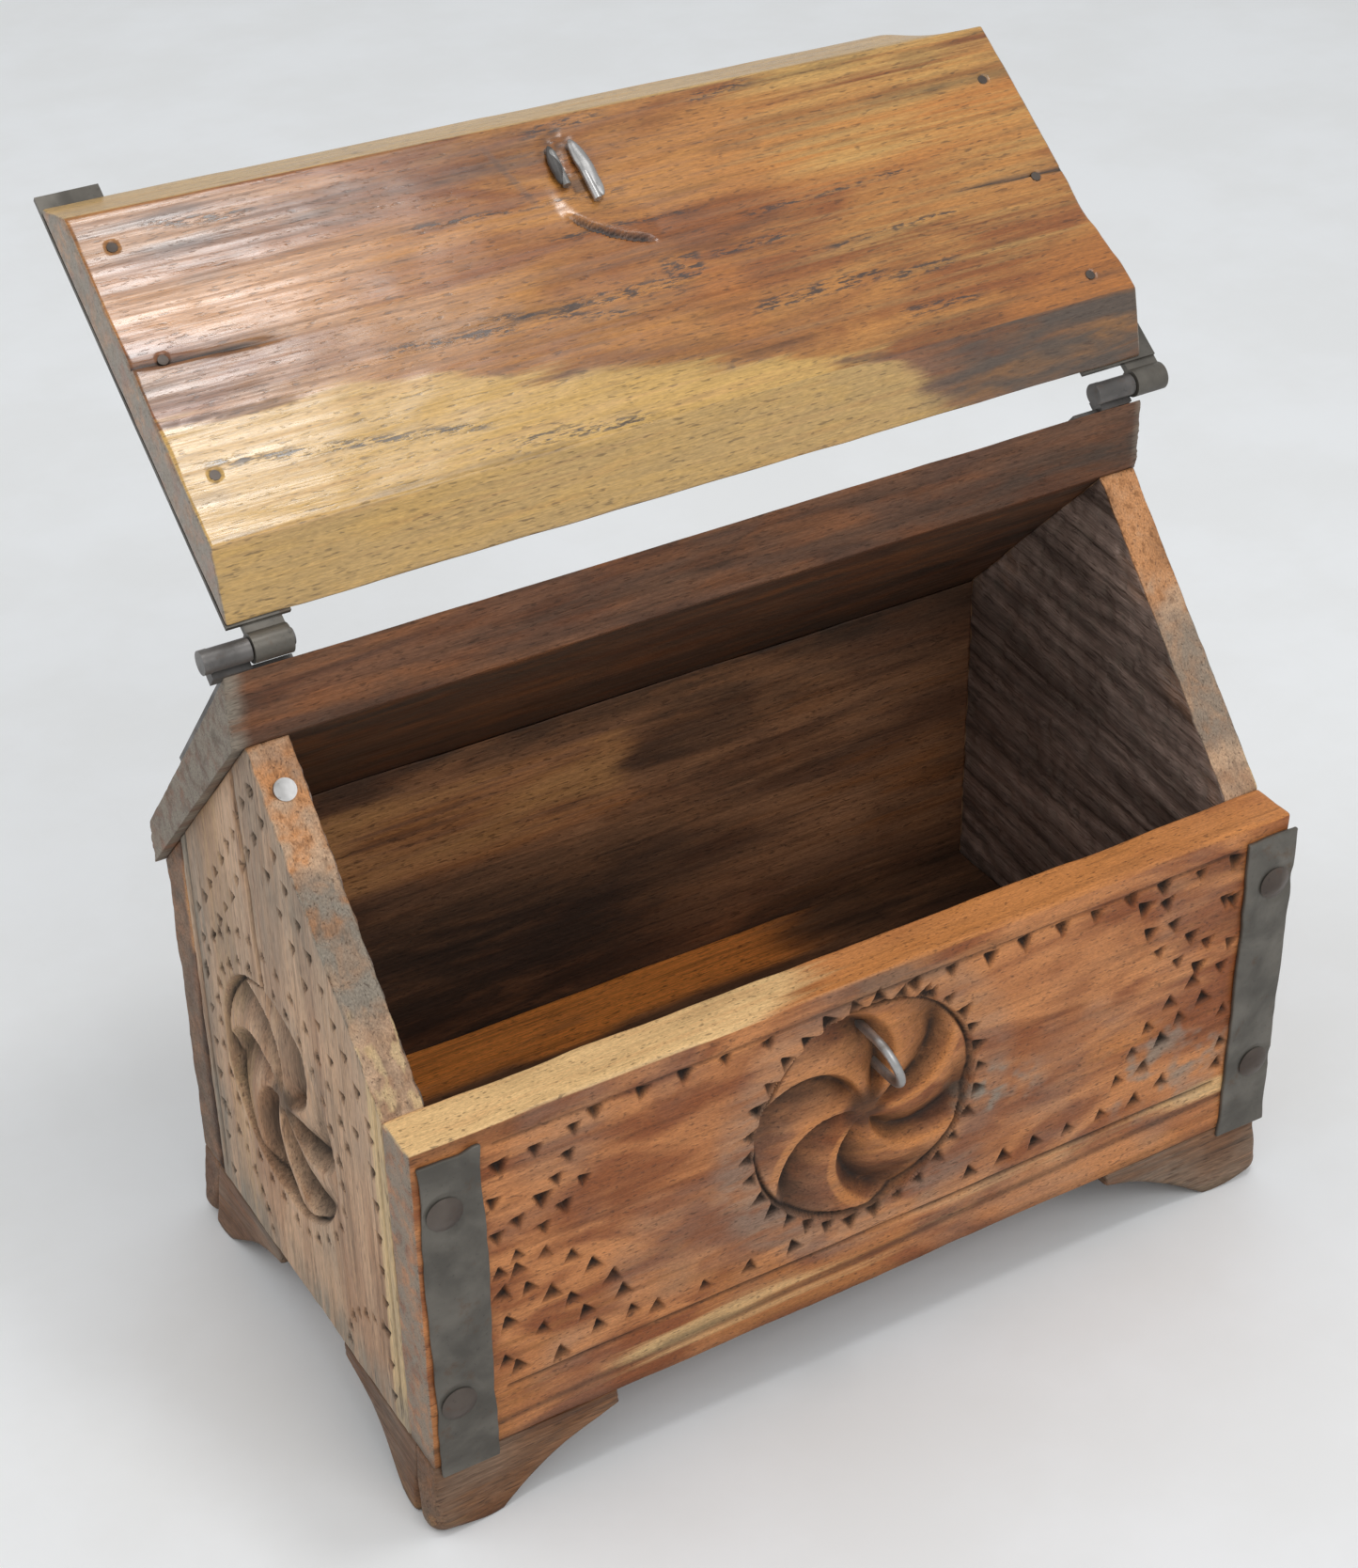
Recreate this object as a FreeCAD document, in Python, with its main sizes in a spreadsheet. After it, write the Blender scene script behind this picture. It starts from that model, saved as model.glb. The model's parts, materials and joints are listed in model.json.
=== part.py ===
"""Donation box: a hewn plank chest with a ridged roof, a sloping hinged lid, iron straps and bracket feet.

Millimetres, +Z up, -Y to the front. The lid stands open, leaning back over the roof, and its hasp hangs free.
The pieces are drawn about the middle of the box and then moved together along Y,
so that the origin lies on the floor under the middle of the whole, open lid included.
"""
import FreeCAD, Part
import math
import os
import Sketcher

Vector = FreeCAD.Vector
X_AXIS = Vector(1, 0, 0)

# Driving dimensions, in millimetres and degrees.
SIZES = {
    # box
    "box_width": 298.0,
    "box_depth": 165.0,
    "front_height": 118.0,
    "front_thickness": 15.5,
    "back_thickness": 16.5,
    "side_thickness": 13.5,
    "floor_thickness": 20.0,
    # roof board
    "ridge_height": 245.0,
    "ridge_setback": 85.5,
    "rail_height": 23.0,
    "eave_height": 152.0,
    "eave_edge": 14.5,
    "roof_left_overhang": 3.5,
    "roof_right_overhang": 1.0,
    # lid
    "lid_side_gap": 0.5,
    "lid_thickness": 14.5,
    "lid_gap": 0.6,
    "lid_front_gap": 3.6,
    "lid_end_run": 13.0,
    "lid_open_angle": 192.5,
    # bracket feet
    "foot_height": 25.0,
    "foot_length": 60.0,
    "foot_thickness": 12.0,
    "foot_tip": 5.0,
    "foot_land": 22.0,
    "foot_cove_radius": 75.0,
    "foot_toe_radius": 8.0,
    # flat iron
    "strap_thickness": 1.5,
    "corner_strap_width": 18.5,
    "corner_strap_drop": 5.0,
    "corner_strap_hang": 3.0,
    "left_strap_inset": 2.0,
    "right_strap_outset": 2.0,
    "lid_strap_width": 18.5,
    "left_lid_strap_tab": 6.6,
    "right_lid_strap_stop": 14.0,
    # hinges
    "pin_diameter": 3.6,
    "pin_clearance": 0.05,
    "pin_height": 3.0,
    "pin_ahead": 6.0,
    "pin_head_diameter": 6.8,
    "pin_head_length": 2.4,
    "pin_rivet_diameter": 4.8,
    "pin_rivet_length": 1.0,
    "box_knuckle_diameter": 6.6,
    "lid_knuckle_diameter": 8.4,
    "knuckle_length": 11.2,
    "knuckle_gap": 0.4,
    "left_hinge_overhang": 6.5,
    "right_hinge_overhang": 7.9,
    "hinge_jog": 12.0,
    "hinge_root_lift": 0.8,
    "box_leaf_setback": 1.5,
    "box_leaf_clearance": 0.4,
    "box_leaf_width": 20.0,
    "box_leaf_length": 66.0,
    "left_leaf_inset": 0.5,
    # nails
    "nail_diameter": 3.0,
    "nail_clearance": 0.1,
    "nail_head_diameter": 11.0,
    "nail_head_height": 1.8,
    "corner_nail_length": 32.0,
    "corner_nail_margin": 19.0,
    "corner_nail_outset": 2.5,
    "corner_nail_lift": 26.5,
    "small_head_diameter": 8.0,
    "small_head_height": 1.3,
    "left_lid_nail_start": 21.9,
    "right_lid_nail_start": 33.9,
    "lid_nail_pitch": 36.0,
    "lid_nail_inset": 9.5,
    "lid_drill_over": 1.0,
    "nail_point_depth": 0.2,
    "leaf_nail_start": 14.0,
    "leaf_nail_pitch": 20.0,
    "leaf_nail_length": 11.0,
    "roof_nail_length": 30.0,
    "roof_nail_margin": 16.0,
    "roof_nail_pitch": 24.0,
    "flush_head_diameter": 6.5,
    "flush_head_depth": 1.5,
    "edge_nail_length": 24.0,
    "edge_nail_along": 14.0,
    "brad_length": 17.0,
    "brad_cover": 2.5,
    "brad_setback": 9.0,
    # lock
    "lock_offset": -4.0,
    "staple_offset": -1.0,
    "staple_wire": 2.8,
    "staple_drop": 21.0,
    "staple_spread": 17.0,
    "staple_leg_out": 3.0,
    "staple_leg_in": 11.0,
    "staple_tilt": 18.0,
    "eye_wire": 2.5,
    "eye_setback": 23.9,
    "eye_height": 6.0,
    "eye_leg_spacing": 7.0,
    "eye_bend_radius": 2.2,
    "eye_short_tail": 10.5,
    "eye_long_tail": 17.0,
    "hasp_width": 24.0,
    "hasp_thickness": 2.0,
    "hasp_standoff": 4.0,
    "hasp_neck_width": 3.2,
    "hasp_neck_length": 9.0,
    "hasp_knuckle_wall": 1.6,
    "hasp_play": 0.3,
    "hasp_slot_width": 16.0,
    "hasp_slot_margin": 2.5,
    "hasp_end": 8.0,
}

# Dimensions that follow from the driving ones.
WORKED = {
    "half_width": "Sizes.box_width / 2",
    "half_depth": "Sizes.box_depth / 2",
    "front_top": "Sizes.foot_height + Sizes.front_height",
    "front_inner": "Sizes.front_thickness - Sizes.box_depth / 2",
    "back_inner": "Sizes.box_depth / 2 - Sizes.back_thickness",
    "ridge_y": "Sizes.ridge_setback - Sizes.box_depth / 2",
    "rail_bottom": "Sizes.ridge_height - Sizes.rail_height",
    "eave_bottom": "Sizes.eave_height - Sizes.eave_edge",
    "roof_fall": "(Worked.rail_bottom - Worked.eave_bottom) / (Worked.half_depth - Worked.ridge_y)",
    "back_top": "Worked.rail_bottom - Worked.roof_fall * (Worked.back_inner - Worked.ridge_y)",
    "side_slope": "atan2(Worked.rail_bottom - Worked.front_top; Worked.ridge_y - Worked.front_inner)",
    "roof_slope": "atan2(Sizes.ridge_height - Sizes.eave_height; Worked.half_depth - Worked.ridge_y)",
    "lid_half": "Worked.half_width - Sizes.lid_side_gap",
    # the lid is drawn about its pin: y runs up the slope, z out of the lid
    "lid_face": "-Sizes.pin_height",
    "lid_under": "-Sizes.pin_height - Sizes.lid_thickness",
    "lid_bevel": "-Sizes.pin_ahead - Sizes.lid_thickness * tan(Worked.side_slope)",
    "lid_corner_y": "Worked.ridge_y - Sizes.lid_gap",
    "lid_corner_z": "Worked.rail_bottom - Sizes.lid_gap * tan(Worked.side_slope)"
                    " + (Sizes.lid_gap + Sizes.lid_thickness) / cos(Worked.side_slope)",
    "pin_y": "Worked.lid_corner_y + Sizes.pin_ahead * cos(Worked.side_slope)"
             " - Sizes.pin_height * sin(Worked.side_slope)",
    "pin_z": "Worked.lid_corner_z + Sizes.pin_ahead * sin(Worked.side_slope)"
             " + Sizes.pin_height * cos(Worked.side_slope)",
    "lid_outer_end": "(Worked.front_top + Sizes.lid_front_gap - Worked.pin_z"
                     " - Worked.lid_face * cos(Worked.side_slope)) / sin(Worked.side_slope)",
    "lid_inner_end": "Worked.lid_outer_end + Sizes.lid_end_run",
    # the roof, seen from the pin: y runs down the slope, z out of the roof
    "leaf_seat": "-(Worked.pin_y - Worked.ridge_y) * sin(Worked.roof_slope)"
                 " - (Worked.pin_z - Sizes.ridge_height) * cos(Worked.roof_slope)",
    "leaf_edge": "(Worked.pin_z - Sizes.ridge_height) * sin(Worked.roof_slope)"
                 " - (Worked.pin_y - Worked.ridge_y) * cos(Worked.roof_slope)",
    "leaf_start": "max(Worked.leaf_edge + Sizes.box_leaf_setback;"
                  " Sizes.lid_knuckle_diameter / 2 + Sizes.box_leaf_clearance)",
    "roof_length": "sqrt((Worked.half_depth - Worked.ridge_y)^2"
                   " + (Sizes.ridge_height - Sizes.eave_height)^2)",
    "bore_radius": "Sizes.pin_diameter / 2 + Sizes.pin_clearance",
    # the lock: staple legs on the front panel, eye on the lid
    "staple_middle": "Worked.front_top - Sizes.staple_drop - Sizes.staple_spread / 2",
    "eye_y": "Worked.lid_outer_end + Sizes.eye_setback",
    "eye_z": "Worked.lid_face + Sizes.eye_height",
    # the whole, with its open lid: from the staple's ring to the far end of the lid straps
    "open_slope": "Worked.side_slope - Sizes.lid_open_angle * 1 deg",
    "front_reach": "-Worked.half_depth - Sizes.staple_leg_out"
                   " - (Sizes.staple_spread + Sizes.staple_wire) / 2",
    "rear_reach": "Worked.pin_y + (Worked.lid_outer_end - Sizes.left_lid_strap_tab) * cos(Worked.open_slope)"
                  " - (Worked.lid_face + Sizes.strap_thickness) * sin(Worked.open_slope)",
    "frame_shift": "-(Worked.front_reach + Worked.rear_reach) / 2",
}

doc = FreeCAD.newDocument("donation_box")


def make_sheet(name, cells):
    """One spreadsheet row per dimension, each with its alias."""
    sheet = doc.addObject("Spreadsheet::Sheet", name)
    for row, (alias, content) in enumerate(cells.items(), start=1):
        sheet.set("A%d" % row, alias)
        sheet.setAlias("B%d" % row, alias)
        sheet.set("B%d" % row, content)
    doc.recompute()
    return sheet


sizes_sheet = make_sheet("Sizes", {alias: str(number) for alias, number in SIZES.items()})
worked_sheet = make_sheet("Worked", {alias: "=" + formula for alias, formula in WORKED.items()})


def value(formula):
    """A formula of the two sheets as a plain number, in millimetres or degrees."""
    result = sizes_sheet.evalExpression(formula)
    return float(getattr(result, "Value", result))


def size(alias):
    return value("Sizes." + alias)


def worked(alias):
    return value("Worked." + alias)


# Sketches, planks and plates.

def origin_plane(body, role):
    return next(feature for feature in body.Origin.OriginFeatures if feature.Role == role)


def closed_sketch(body, role, corners, radii=None, offset="0"):
    """A closed outline through (x, y) formulas. radii gives (formula, side) for the sides that are arcs."""
    radii = radii or {}
    sketch = body.newObject("Sketcher::SketchObject", body.Name + "_outline")
    sketch.AttachmentSupport = [(origin_plane(body, role), "")]
    sketch.MapMode = "FlatFace"
    sketch.setExpression("AttachmentOffset.Base.z", offset)
    points = [Vector(value(x), value(y), 0) for x, y in corners]
    starts, ends = [], []
    for index, start in enumerate(points):
        end = points[(index + 1) % len(points)]
        if index not in radii:
            sketch.addGeometry(Part.LineSegment(start, end), False)
            starts.append(1)
            ends.append(2)
            continue
        formula, side = radii[index]
        radius = value(formula)
        along = end - start
        left = Vector(-along.y, along.x, 0).normalize()
        reach = math.sqrt(max(radius ** 2 - (along.Length / 2) ** 2, 0))
        centre = (start + end) / 2 + left * (side * reach)
        first, last = (start, end) if side > 0 else (end, start)
        turn = [math.atan2((p - centre).y, (p - centre).x) for p in (first, last)]
        circle = Part.Circle(centre, Vector(0, 0, 1), radius)
        sketch.addGeometry(Part.ArcOfCircle(circle, turn[0], turn[1]), False)
        starts.append(1 if side > 0 else 2)
        ends.append(2 if side > 0 else 1)
    for index in range(len(points)):
        after = (index + 1) % len(points)
        sketch.addConstraint(Sketcher.Constraint("Coincident", index, ends[index], after, starts[after]))
    for index, (x, y) in enumerate(corners):
        for kind, formula, number in (("DistanceX", x, points[index].x), ("DistanceY", y, points[index].y)):
            place = sketch.addConstraint(Sketcher.Constraint(kind, -1, 1, index, starts[index], number))
            sketch.setExpression("Constraints[%d]" % place, formula)
    for index, (formula, side) in radii.items():
        place = sketch.addConstraint(Sketcher.Constraint("Radius", index, value(formula)))
        sketch.setExpression("Constraints[%d]" % place, formula)
    return sketch


def padded(name, role, corners, start, thickness, radii=None):
    """A body padded along its plane's normal from start, by thickness, both formulas."""
    body = doc.addObject("PartDesign::Body", name)
    sketch = closed_sketch(body, role, corners, radii, start)
    pad = body.newObject("PartDesign::Pad", name + "_pad")
    pad.Profile = sketch
    pad.setExpression("Length", thickness)
    return body


def box(name, corner, lengths):
    """A Part box from (x, y, z) formulas for its lowest corner and its lengths."""
    block = doc.addObject("Part::Box", name)
    for label, formula in zip(("Length", "Width", "Height"), lengths):
        block.setExpression(label, formula)
    for axis, formula in zip("xyz", corner):
        block.setExpression("Placement.Base." + axis, formula)
    return block


def barrel(name, start, length, diameter, y="0", z="0"):
    """A cylinder along X from formulas."""
    cylinder = doc.addObject("Part::Cylinder", name)
    cylinder.setExpression("Radius", "(%s) / 2" % diameter)
    cylinder.setExpression("Height", length)
    cylinder.Placement = FreeCAD.Placement(Vector(), FreeCAD.Rotation(Vector(0, 1, 0), 90))
    for axis, formula in zip("xyz", (start, y, z)):
        cylinder.setExpression("Placement.Base." + axis, formula)
    return cylinder


def fused(name, pieces):
    union = doc.addObject("Part::MultiFuse", name)
    union.Shapes = pieces
    union.Refine = True
    return union


def cut(name, base, tool):
    difference = doc.addObject("Part::Cut", name)
    difference.Base = base
    difference.Tool = tool
    return difference


def solid(name, shape, placement=None):
    """An object with a shape of its own, for wires and groups of nails."""
    feature = doc.addObject("Part::Feature", name)
    feature.Shape = shape
    if placement:
        feature.Placement = placement
    return feature


# Frames of the sloping pieces, each centred on the hinge axis.

pin_axis = Vector(0, worked("pin_y"), worked("pin_z"))
lid_closed = FreeCAD.Placement(pin_axis, FreeCAD.Rotation(X_AXIS, worked("side_slope")))
lid_open = FreeCAD.Placement(
    pin_axis, FreeCAD.Rotation(X_AXIS, worked("side_slope") - size("lid_open_angle")))
roof_frame = FreeCAD.Placement(pin_axis, FreeCAD.Rotation(X_AXIS, -worked("roof_slope")))
world = FreeCAD.Placement()

# Nails. Each has a shank, a head and, in what it passes through, a hole a little wider than the shank.

def nail(length, head_diameter, head_height):
    """A nail along -Z with a low domed head that sits on z = 0."""
    shank = size("nail_diameter") / 2
    head = head_diameter / 2
    rim = Vector(head, 0, 0)
    crown = Vector(0, 0, head_height)
    dome = (head ** 2 + head_height ** 2) / (2 * head_height)
    lean = math.asin(min(head / dome, 1.0)) / 2
    shoulder = Vector(dome * math.sin(lean), 0, head_height - dome * (1 - math.cos(lean)))
    corners = [crown, Vector(0, 0, -length), Vector(shank, 0, -length), Vector(shank, 0, 0), rim]
    edges = [Part.LineSegment(a, b).toShape() for a, b in zip(corners, corners[1:])]
    edges.append(Part.Arc(rim, shoulder, crown).toShape())
    return Part.Face(Part.Wire(edges)).revolve(Vector(), Vector(0, 0, 1), 360)


def flush_nail(length):
    """A nail whose flat head is sunk level with the wood."""
    depth = size("flush_head_depth")
    shank = Part.makeCylinder(size("nail_diameter") / 2, length - depth, Vector(0, 0, -length))
    return shank.fuse(Part.makeCylinder(size("flush_head_diameter") / 2, depth, Vector(0, 0, -depth)))


def hole(length, head_diameter=0.0, head_depth=0.0):
    """The room that a nail needs: along -Z, open at the top, with any sunk head's recess."""
    clearance = size("nail_clearance")
    top = 4 * size("strap_thickness")
    bore = Part.makeCylinder(
        size("nail_diameter") / 2 + clearance, length + clearance + top, Vector(0, 0, -length - clearance))
    if head_depth:
        recess = Part.makeCylinder(head_diameter / 2 + clearance, head_depth + top, Vector(0, 0, -head_depth))
        bore = bore.fuse(recess)
    return bore


def placed(shape, frame, point, direction):
    """A copy of a shape drawn along Z, moved to a point of a frame and turned to a direction there."""
    turned = FreeCAD.Placement(point, FreeCAD.Rotation(Vector(0, 0, 1), direction))
    copy = shape.copy()
    copy.Placement = frame.multiply(turned)
    return copy


def nail_group(name, shape, tool, frame, spots):
    """A group of equal nails at (point, direction) spots, and the tool that drills for them."""
    group = solid(name, Part.makeCompound([placed(shape, frame, *spot) for spot in spots]))
    drill = solid(name + "_drill", Part.makeCompound([placed(tool, frame, *spot) for spot in spots]))
    return group, drill


def drill_copy(drill):
    """The same drill again, so that each drilled piece owns its tool."""
    return solid(drill.Label + "_copy", drill.Shape.copy())


def tools_of(name, drills):
    return solid(name, Part.makeCompound([drill.Shape.copy() for drill in drills]))


SIDES = {"left": -1, "right": 1}
strap_middle = {
    "left": -worked("half_width") + size("left_strap_inset") + size("corner_strap_width") / 2,
    "right": worked("half_width") + size("right_strap_outset") - size("corner_strap_width") / 2,
}
strap_start = {
    "left": "Sizes.left_strap_inset - Worked.half_width",
    "right": "Worked.half_width + Sizes.right_strap_outset - Sizes.corner_strap_width",
}

strap_bottom = "Sizes.foot_height - Sizes.corner_strap_hang"
strap_top = {"front": "Worked.front_top - Sizes.corner_strap_drop",
             "back": "Worked.eave_bottom - Sizes.corner_strap_drop"}
strap_reach = worked("half_depth") + size("strap_thickness")
corner_spots = []
for end, facing in (("front", -1), ("back", 1)):
    upper = value(strap_top[end]) - size("corner_nail_margin")
    lower = value(strap_bottom) + size("corner_nail_lift")
    for side, across in SIDES.items():
        x = strap_middle[side] + across * size("corner_nail_outset")
        for height in (upper, lower):
            corner_spots.append((Vector(x, facing * strap_reach, height), Vector(0, facing, 0)))
corner_nails, corner_drill = nail_group(
    "corner_strap_nails",
    nail(size("corner_nail_length"), size("nail_head_diameter"), size("nail_head_height")),
    hole(size("corner_nail_length")), world, corner_spots)

lid_nail_x = worked("lid_half") - size("lid_nail_inset")
lid_spots = [
    (Vector(facing * lid_nail_x,
            worked("lid_outer_end") + size(side + "_lid_nail_start") + step * size("lid_nail_pitch"),
            worked("lid_face") + size("strap_thickness")), Vector(0, 0, 1))
    for side, facing in SIDES.items() for step in range(3)]
lid_nail_length = size("strap_thickness") + size("lid_thickness") - size("nail_point_depth")
lid_nails, lid_drill = nail_group(
    "lid_strap_nails", nail(lid_nail_length, size("small_head_diameter"), size("small_head_height")),
    hole(lid_nail_length + size("lid_drill_over")), lid_open, lid_spots)

leaf_middle = {
    "left": -worked("half_width") - size("roof_left_overhang") + size("left_leaf_inset")
            + size("box_leaf_width") / 2,
    "right": worked("half_width") + size("right_hinge_overhang") - size("knuckle_length")
             - size("knuckle_gap") - size("box_leaf_width") / 2,
}
leaf_spots = [
    (Vector(leaf_middle[side], worked("leaf_edge") + size("leaf_nail_start") + step * size("leaf_nail_pitch"),
            worked("leaf_seat") + size("strap_thickness")), Vector(0, 0, 1))
    for side in SIDES for step in range(3)]
leaf_nails, leaf_drill = nail_group(
    "hinge_leaf_nails",
    nail(size("leaf_nail_length"), size("small_head_diameter"), size("small_head_height")),
    hole(size("leaf_nail_length")), roof_frame, leaf_spots)

eave_nail_along = worked("leaf_edge") + worked("roof_length") - size("roof_nail_margin")
side_middle = worked("half_width") - size("side_thickness") / 2
roof_spots = [
    (Vector(facing * side_middle, eave_nail_along - step * size("roof_nail_pitch"), worked("leaf_seat")),
     Vector(0, 0, 1))
    for facing in SIDES.values() for step in range(2)]
flush_hole = hole(size("roof_nail_length"), size("flush_head_diameter"), size("flush_head_depth"))
roof_nails, roof_drill = nail_group(
    "roof_nails", flush_nail(size("roof_nail_length")), flush_hole, roof_frame, roof_spots)

slope_top = Vector(0, worked("ridge_y"), worked("rail_bottom"))
slope_frame = FreeCAD.Placement(slope_top, FreeCAD.Rotation(X_AXIS, worked("side_slope")))
edge_spots = [(Vector(-side_middle, -size("edge_nail_along"), 0), Vector(0, 0, 1))]
edge_nail, edge_drill = nail_group(
    "side_edge_nail", flush_nail(size("edge_nail_length")),
    hole(size("edge_nail_length"), size("flush_head_diameter"), size("flush_head_depth")),
    slope_frame, edge_spots)

brad_top = size("foot_height") - size("foot_tip") + size("brad_cover") + size("brad_length")
brad_reach = size("foot_length") - size("brad_setback")
brad_edge = size("foot_thickness") / 2
brad_spots = []
for across in (-1, 1):
    for deep in (-1, 1):
        brad_spots.append(Vector(across * (worked("half_width") - brad_reach),
                                 deep * (worked("half_depth") - brad_edge), brad_top))
        brad_spots.append(Vector(across * (worked("half_width") - brad_edge),
                                 deep * (worked("half_depth") - brad_reach), brad_top))
brad = Part.makeCylinder(size("nail_diameter") / 2, size("brad_length"), Vector(0, 0, -size("brad_length")))
brad_bore = Part.makeCylinder(
    size("nail_diameter") / 2 + size("nail_clearance"), size("brad_length"), Vector(0, 0, -size("brad_length")))
foot_brads, brad_drill = nail_group(
    "foot_brads", brad, brad_bore, world, [(point, Vector(0, 0, 1)) for point in brad_spots])

# Bent wire: the staple on the front panel and the eye through the lid.

def wire_solid(edges, diameter):
    """A round wire swept along edges that join smoothly."""
    path = Part.Wire(edges)
    start = path.Edges[0].valueAt(path.Edges[0].FirstParameter)
    heading = path.Edges[0].tangentAt(path.Edges[0].FirstParameter)
    profile = Part.Wire(Part.Circle(start, heading, diameter / 2).toShape())
    return path.makePipeShell([profile], True, False)


def staple_shape(diameter, extra=0.0):
    """Two legs into the panel and a half ring outside it, in the YZ plane about the panel's face."""
    half = size("staple_spread") / 2
    out = -size("staple_leg_out")
    inside = size("staple_leg_in") + extra
    top, bottom, front = Vector(0, out, half), Vector(0, out, -half), Vector(0, out - half, 0)
    edges = [
        Part.LineSegment(Vector(0, inside, half), top).toShape(),
        Part.Arc(top, front, bottom).toShape(),
        Part.LineSegment(bottom, Vector(0, inside, -half)).toShape(),
    ]
    return wire_solid(edges, diameter)


staple_place = FreeCAD.Placement(
    Vector(size("staple_offset"), -worked("half_depth"), worked("staple_middle")),
    FreeCAD.Rotation(Vector(0, 1, 0), -size("staple_tilt")))
front_staple = solid("front_staple", staple_shape(size("staple_wire")), staple_place)
staple_drill = solid(
    "staple_drill",
    staple_shape(size("staple_wire") + 2 * size("nail_clearance"), size("nail_clearance")), staple_place)


def eye_leg(x, facing, tail_length, diameter):
    """One leg of the eye: a clenched tail, the leg through the lid and half of the bend to the crown."""
    bend = size("eye_bend_radius")
    spread = bend * (1 - math.sqrt(0.5))
    low = worked("lid_under") - diameter / 2 - worked("eye_z")
    return [
        Part.LineSegment(Vector(x, bend + tail_length, low), Vector(x, bend, low)),
        Part.Arc(Vector(x, bend, low), Vector(x, spread, low + spread), Vector(x, 0, low + bend)),
        Part.LineSegment(Vector(x, 0, low + bend), Vector(x, 0, -bend)),
        Part.Arc(Vector(x, 0, -bend), Vector(x + facing * spread, 0, -spread), Vector(x + facing * bend, 0, 0)),
    ]


def eye_shape(diameter):
    """A square staple: its crown along X outside the lid, its tails clenched towards the hinge."""
    half = size("eye_leg_spacing") / 2
    bend = size("eye_bend_radius")
    crown_line = Part.LineSegment(Vector(bend - half, 0, 0), Vector(half - bend, 0, 0))
    curves = eye_leg(-half, 1, size("eye_short_tail"), diameter) + [crown_line]
    curves += reversed(eye_leg(half, -1, size("eye_long_tail"), diameter))
    return wire_solid(Part.__sortEdges__([curve.toShape() for curve in curves]), diameter)


eye_local = FreeCAD.Placement(Vector(size("lock_offset"), worked("eye_y"), worked("eye_z")), FreeCAD.Rotation())
eye_place = lid_open.multiply(eye_local)
hasp_eye = solid("hasp_eye", eye_shape(size("eye_wire")), eye_place)
eye_bore = size("eye_wire") / 2 + size("nail_clearance")
eye_depth = size("lid_thickness") + size("eye_height")
eye_legs = [
    Part.makeCylinder(eye_bore, eye_depth, Vector(facing * size("eye_leg_spacing") / 2, 0, -eye_depth))
    for facing in (-1, 1)]
# the clenched tails lie on the lid, so only the legs and their lower bends need room
bend_room = [
    Part.makeBox(2 * eye_bore, size("eye_bend_radius") + eye_bore, size("eye_bend_radius"),
                 Vector(facing * size("eye_leg_spacing") / 2 - eye_bore, -eye_bore, -eye_depth))
    for facing in (-1, 1)]
eye_drill = solid("eye_drill", Part.makeCompound([a.fuse(b) for a, b in zip(eye_legs, bend_room)]), eye_place)

# Wooden box.

x_left, x_right = "-Worked.half_width", "Worked.half_width"
bottom = "Sizes.foot_height"
front_body = padded(
    "front_plank", "XZ_Plane",
    [(x_left, bottom), (x_right, bottom), (x_right, "Worked.front_top"), (x_left, "Worked.front_top")],
    "-Worked.front_inner", "Sizes.front_thickness")
front_panel = cut("front_panel", front_body,
                  tools_of("front_panel_tools", [corner_drill, staple_drill, brad_drill]))

back_body = padded(
    "back_plank", "YZ_Plane",
    [("Worked.back_inner", bottom), ("Worked.half_depth", bottom), ("Worked.half_depth", "Worked.eave_bottom"),
     ("Worked.back_inner", "Worked.back_top")],
    x_left, "Sizes.box_width")
back_panel = cut("back_panel", back_body,
                 tools_of("back_panel_tools", [corner_drill, roof_drill, brad_drill]))

side_corners = [
    ("Worked.front_inner", bottom), ("Worked.back_inner", bottom), ("Worked.back_inner", "Worked.back_top"),
    ("Worked.ridge_y", "Worked.rail_bottom"), ("Worked.front_inner", "Worked.front_top")]
side_panels = []
for side, start in (("left", x_left), ("right", "Worked.half_width - Sizes.side_thickness")):
    plank = padded(side + "_side_plank", "YZ_Plane", side_corners, start, "Sizes.side_thickness")
    tools = tools_of(side + "_side_tools", [corner_drill, roof_drill, edge_drill, brad_drill])
    side_panels.append(cut(side + "_side_panel", plank, tools))

floor_top = "Sizes.foot_height + Sizes.floor_thickness"
floor_board = padded(
    "floor_board", "YZ_Plane",
    [("Worked.front_inner", bottom), ("Worked.back_inner", bottom), ("Worked.back_inner", floor_top),
     ("Worked.front_inner", floor_top)],
    "Sizes.side_thickness - Worked.half_width", "Sizes.box_width - 2 * Sizes.side_thickness")

roof_body = padded(
    "roof_plank", "YZ_Plane",
    [("Worked.ridge_y", "Worked.rail_bottom"), ("Worked.half_depth", "Worked.eave_bottom"),
     ("Worked.half_depth", "Sizes.eave_height"), ("Worked.ridge_y", "Sizes.ridge_height")],
    "-Worked.half_width - Sizes.roof_left_overhang",
    "Sizes.box_width + Sizes.roof_left_overhang + Sizes.roof_right_overhang")
roof_board = cut("roof_board", roof_body, tools_of("roof_board_tools", [leaf_drill, roof_drill]))

lid_body = padded(
    "lid_plank", "YZ_Plane",
    [("-Sizes.pin_ahead", "Worked.lid_face"), ("Worked.lid_outer_end", "Worked.lid_face"),
     ("Worked.lid_inner_end", "Worked.lid_under"), ("Worked.lid_bevel", "Worked.lid_under")],
    "-Worked.lid_half", "2 * Worked.lid_half")
lid_body.Placement = lid_open
lid_board = cut("lid_board", lid_body, tools_of("lid_board_tools", [lid_drill, eye_drill]))

# Bracket feet: at each corner a front or back bracket and, butted against it, a side bracket.

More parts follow.
